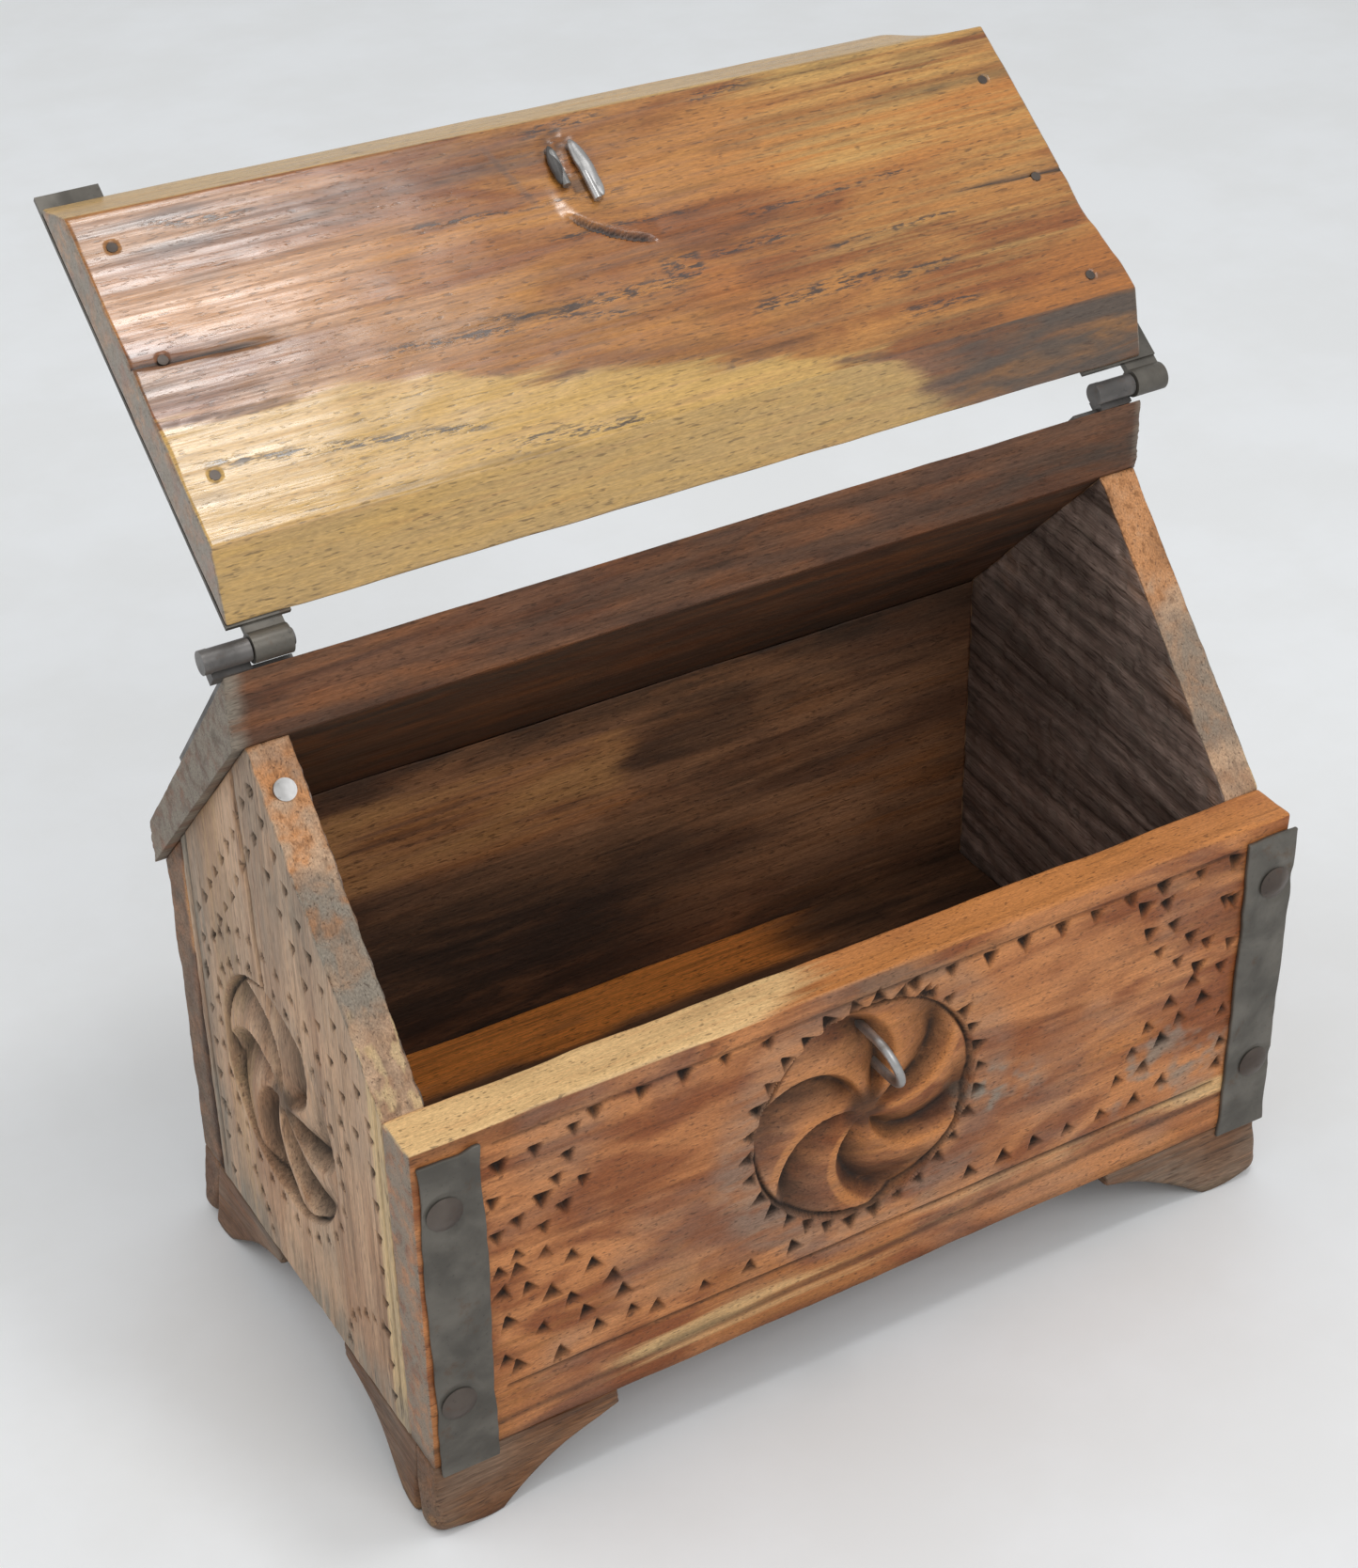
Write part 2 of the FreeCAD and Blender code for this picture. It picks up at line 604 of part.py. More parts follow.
def foot_outline(edge, facing, butted):
    """Corners and arcs of a bracket that runs inwards from edge, a formula, in the direction facing."""
    def at(distance):
        return "%s + %d * (%s)" % (edge, facing, distance)
    tip = "Sizes.foot_height - Sizes.foot_tip"
    corners = [(at("Sizes.foot_length"), "Sizes.foot_height"), (at("Sizes.foot_length"), tip),
               (at("Sizes.foot_land"), "0")]
    radii = {1: ("Sizes.foot_cove_radius", facing)}
    if butted:
        corners += [(at("Sizes.foot_thickness"), "0"), (at("Sizes.foot_thickness"), "Sizes.foot_height")]
    else:
        corners += [(at("Sizes.foot_toe_radius"), "0"), (at("0"), "Sizes.foot_toe_radius"),
                    (at("0"), "Sizes.foot_height")]
        radii[3] = ("Sizes.foot_toe_radius", -facing)
    return corners, radii


def toe_tool(name, deep):
    """What rounds the bottom outer edge of the brackets of one end, all along the box."""
    radius = size("foot_toe_radius")
    edge = -deep * worked("half_depth")
    width = size("box_width")
    corner = Part.makeBox(width, radius, radius, Vector(-width / 2, min(edge, edge + deep * radius), 0))
    centre = Vector(-width / 2, edge + deep * radius, radius)
    rounded = Part.makeCylinder(radius, width, centre, X_AXIS)
    return solid(name, Part.makeCompound([corner.cut(rounded), brad_drill.Shape.copy()]))


feet = []
for side, across in SIDES.items():
    for end, deep in (("front", 1), ("back", -1)):
        y_edge = "-Worked.half_depth" if end == "front" else "Worked.half_depth"
        x_edge = x_left if side == "left" else x_right
        corners, radii = foot_outline(x_edge, -across, False)
        start = "Worked.half_depth - Sizes.foot_thickness" if end == "front" else "-Worked.half_depth"
        name = "%s_%s_foot_%s" % (end, side, end)
        bracket = padded(name + "_block", "XZ_Plane", corners, start, "Sizes.foot_thickness", radii)
        feet.append(cut(name, bracket, toe_tool(name + "_tools", deep)))
        corners, radii = foot_outline(y_edge, deep, True)
        start = x_left if side == "left" else "Worked.half_width - Sizes.foot_thickness"
        name = "%s_%s_foot_side" % (end, side)
        bracket = padded(name + "_block", "YZ_Plane", corners, start, "Sizes.foot_thickness", radii)
        feet.append(cut(name, bracket, drill_copy(brad_drill)))

# Corner straps on the front and back.

corner_straps = []
for end in ("front", "back"):
    y_start = "-Worked.half_depth - Sizes.strap_thickness" if end == "front" else "Worked.half_depth"
    for side in SIDES:
        name = "%s_%s_corner_strap" % (end, side)
        plate = box(
            name + "_plate",
            (strap_start[side], y_start, strap_bottom),
            ("Sizes.corner_strap_width", "Sizes.strap_thickness",
             "%s - (%s)" % (strap_top[end], strap_bottom)))
        corner_straps.append(cut(name, plate, drill_copy(corner_drill)))

# Strap hinges. Each box knuckle lies to the left of its lid knuckle, and one pin joins them.

knuckle_starts = {
    "left": ("-Worked.half_width - Sizes.left_hinge_overhang",
             "-Worked.half_width - Sizes.left_hinge_overhang + Sizes.knuckle_length + Sizes.knuckle_gap"),
    "right": ("Worked.half_width + Sizes.right_hinge_overhang - 2 * Sizes.knuckle_length - Sizes.knuckle_gap",
              "Worked.half_width + Sizes.right_hinge_overhang - Sizes.knuckle_length"),
}
leaf_start = {
    "left": "Sizes.left_leaf_inset - Worked.half_width - Sizes.roof_left_overhang",
    "right": "Worked.half_width + Sizes.right_hinge_overhang - Sizes.knuckle_length"
             " - Sizes.knuckle_gap - Sizes.box_leaf_width",
}
lid_strap_start = {"left": "-Worked.lid_half", "right": "Worked.lid_half - Sizes.lid_strap_width"}
lid_strap_end = {"left": "Worked.lid_outer_end - Sizes.left_lid_strap_tab",
                 "right": "Worked.lid_outer_end + Sizes.right_lid_strap_stop"}
box_wall = "(Sizes.box_knuckle_diameter / 2 - Worked.bore_radius)"
lid_wall = "(Sizes.lid_knuckle_diameter / 2 - Worked.bore_radius)"
bore_start, bore_length = "-Sizes.box_width", "2 * Sizes.box_width"


def leaf(name, plates, knuckle_start, diameter, frame, drill):
    """A hinge leaf: flat plates fused to a knuckle, bored for the pin and drilled for its nails."""
    knuckle = barrel(name + "_knuckle", knuckle_start, "Sizes.knuckle_length", diameter)
    bore = barrel(name + "_bore", bore_start, bore_length, "2 * Worked.bore_radius")
    forged = cut(name + "_forged", fused(name + "_blank", plates + [knuckle]), bore)
    forged.Placement = frame
    return cut(name, forged, drill_copy(drill))


box_leaves, lid_straps, pins = [], [], []
for side in SIDES:
    box_knuckle, lid_knuckle = knuckle_starts[side]
    name = side + "_hinge_box_leaf"
    plate = box(name + "_plate",
                (leaf_start[side], "Worked.leaf_start", "Worked.leaf_seat"),
                ("Sizes.box_leaf_width", "Sizes.box_leaf_length", "Sizes.strap_thickness"))
    neck = box(name + "_neck", (box_knuckle, "Worked.bore_radius + %s / 2" % box_wall, "Worked.leaf_seat"),
               ("Sizes.knuckle_length",
                "Worked.leaf_start + Sizes.box_leaf_setback - Worked.bore_radius", "-Worked.leaf_seat"))
    box_leaves.append(leaf(name, [plate, neck], box_knuckle, "Sizes.box_knuckle_diameter",
                           roof_frame, leaf_drill))

    name = side + "_lid_strap"
    plate = box(name + "_plate",
                (lid_strap_start[side], lid_strap_end[side], "Worked.lid_face"),
                ("Sizes.lid_strap_width",
                 "-Sizes.pin_ahead - (%s)" % lid_strap_end[side], "Sizes.strap_thickness"))
    neck = box(name + "_neck", (lid_knuckle, "-Sizes.pin_ahead - Sizes.hinge_jog", "Worked.lid_face"),
               ("Sizes.knuckle_length", "Sizes.hinge_jog", "Sizes.strap_thickness"))
    root = box(name + "_root",
               (lid_knuckle, "-Sizes.pin_ahead - Sizes.strap_thickness",
                "Worked.lid_face + Sizes.hinge_root_lift"),
               ("Sizes.knuckle_length",
                "Sizes.pin_ahead + Sizes.strap_thickness - Worked.bore_radius - %s / 2" % lid_wall,
                "Sizes.pin_height - Sizes.hinge_root_lift"))
    lid_straps.append(leaf(name, [plate, neck, root], lid_knuckle, "Sizes.lid_knuckle_diameter",
                           lid_open, lid_drill))

    name = side + "_hinge_pin"
    head_start = "%s - Sizes.pin_clearance - Sizes.pin_head_length" % box_knuckle
    shaft_start = "%s - Sizes.pin_clearance" % box_knuckle
    shaft_length = "2 * Sizes.knuckle_length + Sizes.knuckle_gap + 2 * Sizes.pin_clearance"
    axis = ("Worked.pin_y", "Worked.pin_z")
    pins.append(fused(name, [
        barrel(name + "_head", head_start, "Sizes.pin_head_length", "Sizes.pin_head_diameter", *axis),
        barrel(name + "_shaft", shaft_start, shaft_length, "Sizes.pin_diameter", *axis),
        barrel(name + "_rivet", "%s + %s" % (shaft_start, shaft_length), "Sizes.pin_rivet_length",
               "Sizes.pin_rivet_diameter", *axis)]))

# Hasp: a cranked strip that follows the closed lid, then drops in front of the panel over the staple.
# It is drawn about the eye's crown as it lies when locked.

eye_closed = lid_closed.multVec(Vector(0, worked("eye_y"), worked("eye_z")))
slope = math.radians(worked("side_slope"))
drop_y = -worked("half_depth") - size("hasp_standoff") - eye_closed.y
bend_z = drop_y * math.tan(slope)
slot_top = worked("staple_middle") + size("staple_spread") / 2 + size("staple_wire") / 2 \
    + size("hasp_slot_margin") - eye_closed.z
slot_bottom = worked("staple_middle") - size("staple_spread") / 2 - size("staple_wire") / 2 \
    - size("hasp_slot_margin") - eye_closed.z
hasp_bottom = slot_bottom - size("hasp_end")


def strip(points, thickness, start, width):
    """A flat strip that follows three points of the YZ plane, mitred at the middle one."""
    first, middle, last = points
    before = (middle - first).normalize()
    after = (last - middle).normalize()
    half = thickness / 2
    across = [Vector(0, -d.z, d.y) for d in (before, after)]
    mitre = (across[0] + across[1]).normalize()
    mitre = mitre * (half / mitre.dot(across[0]))
    ring = [first + across[0] * half, middle + mitre, last + across[1] * half,
            last - across[1] * half, middle - mitre, first - across[0] * half]
    face = Part.Face(Part.makePolygon(ring + ring[:1]))
    shape = face.extrude(Vector(width, 0, 0))
    shape.translate(Vector(start, 0, 0))
    return shape


crown = Vector()
bend = Vector(0, drop_y, bend_z)
tip = Vector(0, drop_y, hasp_bottom)
shoulder = bend * (size("hasp_neck_length") / bend.Length)
neck_width = size("hasp_neck_width")
hasp_bore = size("eye_wire") / 2 + size("hasp_play")
hasp_outer = hasp_bore + size("hasp_knuckle_wall")
hasp_half = size("hasp_width") / 2
slot_half = size("hasp_slot_width") / 2
hasp_strip = strip([shoulder, bend, tip], size("hasp_thickness"), -hasp_half, size("hasp_width"))
hasp_neck = strip([crown, shoulder, bend], size("hasp_thickness"), -neck_width / 2, neck_width)
hasp_knuckle = Part.makeCylinder(hasp_outer, neck_width, Vector(-neck_width / 2, 0, 0), X_AXIS)
hasp_slot = Part.makeBox(
    2 * slot_half, 4 * size("hasp_thickness"), slot_top - slot_bottom,
    Vector(-slot_half, drop_y - 2 * size("hasp_thickness"), slot_bottom))
hasp_hole = Part.makeCylinder(hasp_bore, neck_width, Vector(-neck_width / 2, 0, 0), X_AXIS)
hasp_shape = hasp_strip.fuse([hasp_neck, hasp_knuckle]).cut([hasp_slot, hasp_hole]).removeSplitter().Solids[0]

# Let go, the hasp swings until its weight hangs straight below the crown.
weight = hasp_shape.CenterOfMass
weight_angle = math.degrees(math.atan2(weight.z, weight.y)) % 360
hasp_rest_turn = -90 - weight_angle
hasp_rest = FreeCAD.Placement(eye_place.Base, FreeCAD.Rotation(X_AXIS, hasp_rest_turn))
hasp = solid("hasp", hasp_shape, hasp_rest)

# Check and write the sub-parts.

sub_parts = [front_panel, back_panel] + side_panels + [floor_board, roof_board, lid_board] + feet
sub_parts += corner_straps + [corner_nails] + box_leaves + lid_straps + pins
sub_parts += [lid_nails, leaf_nails, roof_nails, edge_nail, foot_brads, front_staple, hasp_eye, hasp]

shift = FreeCAD.Placement(Vector(0, worked("frame_shift"), 0), FreeCAD.Rotation())
for item in sub_parts:
    item.Placement = shift.multiply(item.Placement)

doc.recompute()
faults = [item.Label for item in doc.Objects if {"Invalid", "Error"} & set(item.State)]
faults += [item.Label for item in sub_parts if item.Shape.isNull() or not item.Shape.isValid()]
if faults:
    raise RuntimeError("faulty objects: " + ", ".join(faults))

os.makedirs("parts", exist_ok=True)
for item in sub_parts:
    item.Shape.exportStep("parts/%s.step" % item.Label)
    print("%-26s solids %2d volume %10.1f" % (item.Label, len(item.Shape.Solids), item.Shape.Volume))
hinge_point = shift.multVec(pin_axis)
hasp_point = shift.multVec(eye_place.Base)
print("moved along y by %.4f" % worked("frame_shift"))
print("hinge axis y %.4f z %.4f" % (hinge_point.y, hinge_point.z))
print("hasp axis x %.4f y %.4f z %.4f" % tuple(hasp_point))
print("hasp turn from hanging to locked %.4f" % (-hasp_rest_turn - size("lid_open_angle")))
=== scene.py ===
# %% [markdown]
# # A carved donation box
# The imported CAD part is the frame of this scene. Its planks are shown as hewn, carved and worn boards
# made here, in the same place, and its iron as the CAD nodes themselves with forged materials.

# %% Frame and sizes
import json
import math

import bpy
import numpy as np
from mathutils import Matrix, Vector

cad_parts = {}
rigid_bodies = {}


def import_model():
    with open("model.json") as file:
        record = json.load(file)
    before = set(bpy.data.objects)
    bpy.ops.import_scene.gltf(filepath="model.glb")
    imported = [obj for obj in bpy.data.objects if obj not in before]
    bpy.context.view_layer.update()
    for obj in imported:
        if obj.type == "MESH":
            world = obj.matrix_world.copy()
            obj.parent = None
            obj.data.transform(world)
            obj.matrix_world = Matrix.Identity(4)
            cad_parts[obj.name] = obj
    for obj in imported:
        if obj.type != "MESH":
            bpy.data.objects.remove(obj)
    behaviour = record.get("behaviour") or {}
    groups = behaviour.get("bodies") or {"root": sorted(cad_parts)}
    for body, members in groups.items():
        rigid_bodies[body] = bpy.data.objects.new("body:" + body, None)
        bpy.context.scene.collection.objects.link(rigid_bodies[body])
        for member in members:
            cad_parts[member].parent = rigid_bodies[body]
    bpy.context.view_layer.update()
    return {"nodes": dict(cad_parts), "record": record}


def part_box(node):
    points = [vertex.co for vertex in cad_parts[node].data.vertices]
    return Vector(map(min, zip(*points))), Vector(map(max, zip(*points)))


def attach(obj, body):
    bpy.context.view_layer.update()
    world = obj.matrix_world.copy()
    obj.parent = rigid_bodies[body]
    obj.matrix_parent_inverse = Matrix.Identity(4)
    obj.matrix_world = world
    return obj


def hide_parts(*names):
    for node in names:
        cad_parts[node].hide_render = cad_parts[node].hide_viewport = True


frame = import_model()
nodes = frame["nodes"]
MM = 0.001


def box_mm(node):
    """Lowest and highest corner of a node, in millimetres."""
    low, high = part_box(node)
    return np.array(low) / MM, np.array(high) / MM


front_low, front_high = box_mm("front_panel")
back_low, back_high = box_mm("back_panel")
left_low, left_high = box_mm("left_side_panel")
right_low, right_high = box_mm("right_side_panel")
floor_low, floor_high = box_mm("floor_board")
roof_low, roof_high = box_mm("roof_board")
BOX_MIDDLE = (front_low[1] + back_high[1]) / 2
RIDGE_Y = roof_low[1]
RIDGE_TOP = roof_high[2]
RAIL_BOTTOM = left_high[2]
EAVE_BOTTOM = roof_low[2]
EAVE_EDGE = 14.5
FRONT_TOP = front_high[2]
BOX_BOTTOM = front_low[2]
SIDE_SLOPE = math.atan2(RAIL_BOTTOM - FRONT_TOP, RIDGE_Y - left_low[1])
ROOF_FALL = (RAIL_BOTTOM - EAVE_BOTTOM) / (back_high[1] - RIDGE_Y)
hinge = next(joint for joint in frame["record"]["behaviour"]["joints"] if joint["name"] == "lid_hinge")
PIN = np.array(hinge["pos_m"]) / MM
LID_TURN = SIDE_SLOPE - math.radians(hinge["range_deg"][1])
print("box", front_high - front_low, "slope", round(math.degrees(SIDE_SLOPE), 2))

# %% [markdown]
# ## Noise
# Everything irregular comes from one seeded value noise, so the scene is the same on every run.

# %% Noise
def hashed(i, j, k, seed):
    """A repeatable number from 0 to 1 for each lattice point."""
    mixed = (i * 374761393 + j * 668265263 + k * 2147483647 + seed * 1274126177) & 0xFFFFFFFF
    mixed = ((mixed ^ (mixed >> 13)) * 1274126177) & 0xFFFFFFFF
    mixed = ((mixed ^ (mixed >> 16)) * 2246822519) & 0xFFFFFFFF
    return ((mixed ^ (mixed >> 15)) & 0xFFFFFF) / float(0xFFFFFF)


def noise(points, size, seed=0):
    """Smooth noise from -1 to 1 whose features are about size millimetres, a number or one per axis."""
    scaled = points / np.asarray(size, float)
    cell = np.floor(scaled).astype(np.int64)
    inside = scaled - cell
    inside = inside * inside * (3 - 2 * inside)
    total = 0.0
    for a in (0, 1):
        for b in (0, 1):
            for c in (0, 1):
                weight = np.abs(1 - a - inside[:, 0]) * np.abs(1 - b - inside[:, 1])
                weight = weight * np.abs(1 - c - inside[:, 2])
                total = total + weight * hashed(cell[:, 0] + a, cell[:, 1] + b, cell[:, 2] + c, seed)
    return 2 * total - 1


def layered(points, size, seed=0, layers=3):
    """Several sizes of noise added up."""
    size = np.asarray(size, float)
    return sum(noise(points, size / 2 ** n, seed + n) / 2 ** n for n in range(layers))


def step(edge_low, edge_high, x):
    """0 below edge_low, 1 above edge_high, smooth between; the edges may be given in either order."""
    t = np.clip((x - edge_low) / (edge_high - edge_low), 0, 1)
    return t * t * (3 - 2 * t)


def near(x, middle, half, soft):
    """1 within half of the middle, falling to 0 over soft beyond it."""
    return 1 - step(half, half + soft, np.abs(x - middle))


# %% [markdown]
# ## Boards
# A board is the skin of a box on a fine grid. Its edges are rounded by an uneven radius, and a mapping
# then bends the box to the board's true outline. Masks for the materials ride along as attributes.

# %% Board tools
RIM_STEPS = np.array([0.0, 0.3, 0.65, 1.0])


def grid_lines(low, high, spacing, rim):
    """Grid lines from low to high, closer together in a rim at both ends."""
    count = max(2, int(round((high - low - 2 * rim) / spacing)) + 1)
    middle = np.linspace(low + rim, high - rim, count)
    return np.concatenate([low + rim * RIM_STEPS[:-1], middle, high - rim * RIM_STEPS[-2::-1]])


def box_skin(lines):
    """Points and quads of the skin of a box, from the grid lines of its three axes."""
    shape = [len(line) for line in lines]
    on_skin = np.zeros(shape, bool)
    on_skin[[0, -1]] = True
    on_skin[:, [0, -1]] = True
    on_skin[:, :, [0, -1]] = True
    number = np.full(shape, -1)
    number[on_skin] = np.arange(on_skin.sum())
    index = np.nonzero(on_skin)
    points = np.stack([line[i] for line, i in zip(lines, index)], 1)
    quads = []
    for axis in range(3):
        for end in (0, -1):
            sheet = np.take(number, end, axis)
            corners = [sheet[:-1, :-1], sheet[1:, :-1], sheet[1:, 1:], sheet[:-1, 1:]]
            quad = np.stack(corners, -1).reshape(-1, 4)
            turned = (end == 0) != (axis == 1)
            quads.append(quad[:, ::-1] if turned else quad)
    return points, np.concatenate(quads)


def worn(points, low, high, radius):
    """The box skin with its edges and corners rounded by a radius that may differ from point to point."""
    radius = np.broadcast_to(radius, len(points))[:, None]
    core = np.clip(points, low + radius, high - radius)
    away = points - core
    length = np.linalg.norm(away, axis=1, keepdims=True)
    return core + away * np.where(length > radius, radius / np.maximum(length, 1e-9), 1.0)


def mesh_object(name, points, faces, masks=None):
    """A smooth mesh from millimetre points, with its masks as attributes."""
    mesh = bpy.data.meshes.new(name)
    mesh.from_pydata((points * MM).tolist(), [], faces.tolist())
    for mask, values in (masks or {}).items():
        layer = mesh.attributes.new(mask, "FLOAT", "POINT")
        layer.data.foreach_set("value", np.clip(values, 0, 1).astype(np.float32))
    mesh.polygons.foreach_set("use_smooth", np.ones(len(faces), bool))
    thing = bpy.data.objects.new(name, mesh)
    bpy.context.scene.collection.objects.link(thing)
    return thing


def stand_for(thing, node, body):
    """Lets a mesh stand for a CAD node on its body."""
    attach(thing, body)
    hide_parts(node)
    print(thing.name, len(thing.data.vertices), "vertices")


# %% [markdown]
# ## Carving
# A carving is a depth in millimetres over a flat face. The whirl rosette has curved blades that rise to a
# sharp ridge and fall steeply into a groove. Three-sided chips stand in rows, rings and quarter fans.

# %% Carving tools
BLADES = 6
BLADE_RIDGE = 0.78
BLADE_DEPTH = 5.6
UP, DOWN = math.pi / 2, -math.pi / 2


def rosette(u, v, radius, bend, start):
    """Depth of a whirl rosette about the origin of u and v, its mask of dirt and painted shade, and its
    crests.
    """
    r = np.hypot(u, v)
    reach = np.clip(r / radius, 0, 1)
    turn = (np.degrees(np.arctan2(v, u)) - start - bend * reach ** 1.6) / (360 / BLADES)
    phase = turn - np.floor(turn)
    rise = np.sin(np.pi / 2 * np.clip(phase / BLADE_RIDGE, 0, 1))
    fall = np.clip((phase - BLADE_RIDGE) / (1 - BLADE_RIDGE), 0, 1)
    height = np.where(phase < BLADE_RIDGE, rise, 1 - fall)
    envelope = step(1.5, 12, r) * (1 - 0.3 * step(0.85 * radius, radius, r))
    rim = near(r, radius, 0.35, 0.9)
    depth = np.maximum(0.8 + BLADE_DEPTH * envelope * (1 - height), 2.8 * rim)
    inside = 1 - step(radius + 0.3, radius + 1.2, r)
    # Painted shade, darkest in each blade's hollow, with real dirt at the centre.
    dirt = np.maximum((1 - height) ** 0.9 * envelope, 0.8 * near(r, 0, 4, 7))
    # A paler band along each blade's crest: partly wear, partly a painted highlight.
    ridge = near(phase, BLADE_RIDGE - 0.05, 0.06, 0.08) * envelope * inside
    # The rim groove is darkened as painted shade.
    return depth * inside, np.maximum(dirt, rim) * inside, ridge


def chip(u, v, at, angle, length, width, deep):
    """Depth of one three-sided chip about its middle: a straight base, and a point along angle."""
    c, s = math.cos(angle), math.sin(angle)
    along = (u - at[0]) * c + (v - at[1]) * s + length / 2
    across = (v - at[1]) * c - (u - at[0]) * s
    side = 1 - along / length - np.abs(across) / (width / 2)
    return deep * np.clip(np.minimum(along / (0.3 * length), side * 2), 0, 1)


def chips(u, v, spots, length, width, deep, seed=0):
    """Depth of many chips, given as (place, angle), each cut a little differently."""
    random = np.random.default_rng(seed)
    depth = np.zeros_like(u)
    for place, angle in spots:
        scale, tilt = random.uniform(0.82, 1.15), random.uniform(-0.25, 0.25)
        place = place + random.uniform(-0.6, 0.6, 2)
        close = np.nonzero((np.abs(u - place[0]) < 1.2 * length) & (np.abs(v - place[1]) < 1.2 * length))[0]
        cut = chip(u[close], v[close], place, angle + tilt, scale * length, scale * width, scale * deep)
        depth[close] = np.maximum(depth[close], cut)
    return depth


def groove(distance, half, deep):
    """Depth of a V groove, from the distance to its line."""
    return deep * np.clip(1 - np.abs(distance) / half, 0, 1)


def row(start, end, spacing, angle):
    """Chip spots along a straight line."""
    start, end = np.array(start, float), np.array(end, float)
    count = int(np.hypot(*(end - start)) // spacing) + 1
    return [(start + (end - start) * n / max(count - 1, 1), angle) for n in range(count)]


def arc(centre, radius, first, last, spacing, facing=None):
    """Chip spots on an arc, pointing away from its centre unless they all face one way."""
    count = max(2, int(round(math.radians(abs(last - first)) * radius / spacing)) + 1)
    spots = []
    for n in range(count):
        angle = math.radians(first + (last - first) * n / (count - 1))
        place = np.array(centre) + radius * np.array([math.cos(angle), math.sin(angle)])
        spots.append((place, angle if facing is None else facing))
    return spots


# %% [markdown]
# ## Front panel
# It carries the rosette, two incised lines with chips, and rings of chips about each corner.

# %% Front panel
ROSETTE = np.array([-3.9, FRONT_TOP - 50.0])
ROSETTE_RADIUS = 37.5
FIELD_LEFT, FIELD_RIGHT = -125.0, 130.0
LINE_TOP, LINE_BOTTOM = FRONT_TOP - 8.0, BOX_BOTTOM + 20.5
CHIP = dict(length=6.0, width=6.6, deep=2.6)
# the fans are rings of chips about the field's corners:
# radius, first and last angle in degrees from level, number of chips
CORNER_OUT, CORNER_DOWN = 6.0, 2.0
LEFT_UPPER = ((11, 45, 45, 1), (20, 20, 73, 2), (32, 8, 79, 6), (41, 35, 60, 3))
LEFT_LOWER = ((12, 30, 57, 2), (25, 12, 72, 3), (37, 14, 79, 6), (44, 74, 82, 2), (49, 11, 75, 7))
RIGHT_UPPER = ((18, 58, 70, 2), (33, 15, 79, 5), (42, 9, 78, 6))
RIGHT_LOWER = ((10, 57, 57, 1), (18, 71, 71, 1), (30, 19, 79, 2), (41, 29, 69, 4), (50, 22, 67, 5))


def fan(rings, corner, across, up):
    """Chip spots in rings about a corner; across and up are 1 or -1, towards the field."""
    spots = []
    for radius, first, last, count in rings:
        for angle in np.radians(np.linspace(first, last, count)):
            place = np.array(corner) + radius * np.array([across * math.cos(angle), up * math.sin(angle)])
            spots.append((place, UP if up > 0 else DOWN))
    return spots


def front_carving(x, z):
    u, v = x - ROSETTE[0], z - ROSETTE[1]
    depth, shade, ridge = rosette(u, v, ROSETTE_RADIUS, 55.0, -7.0)
    in_field = step(FIELD_LEFT, FIELD_LEFT + 1, x) * (1 - step(FIELD_RIGHT - 1, FIELD_RIGHT, x))
    clear = step(39, 41, np.hypot(u, v))
    lines = groove(z - LINE_TOP - 0.4 * noise(np.column_stack([x, z, z]), 30, 2), 0.8, 0.7)
    lines = (lines + groove(z - LINE_BOTTOM, 0.9, 0.9)) * in_field * clear
    spots = arc(ROSETTE, ROSETTE_RADIUS + 3.6, 62, 118 + 300, 8.6)
    for first, last in ((FIELD_LEFT + 32, -37), (12, FIELD_RIGHT - 2)):
        spots += row((first, LINE_TOP - 3.4), (last, LINE_TOP - 3.4), 12.2, DOWN)
    for first, last in ((-75, -29), (34, 97)):
        spots += row((first, LINE_BOTTOM + 7.2), (last, LINE_BOTTOM + 7.2), 12.2, UP)
    left, right, high = FIELD_LEFT - CORNER_OUT, FIELD_RIGHT + CORNER_OUT, LINE_TOP - CORNER_DOWN
    spots += fan(LEFT_UPPER, (left, high), 1, -1) + fan(LEFT_LOWER, (left, LINE_BOTTOM), 1, 1)
    spots += fan(RIGHT_UPPER, (right, high), -1, -1) + fan(RIGHT_LOWER, (right, LINE_BOTTOM), -1, 1)
    cuts = chips(x, z, spots, seed=4, **CHIP)
    depth = np.maximum(depth, np.maximum(lines, cuts))
    # The chips and grooves are darkened by their depth: painted shade in the hollows.
    return depth, np.maximum(shade, np.maximum(np.clip(1.5 * cuts / CHIP["deep"], 0, 1), lines)), ridge


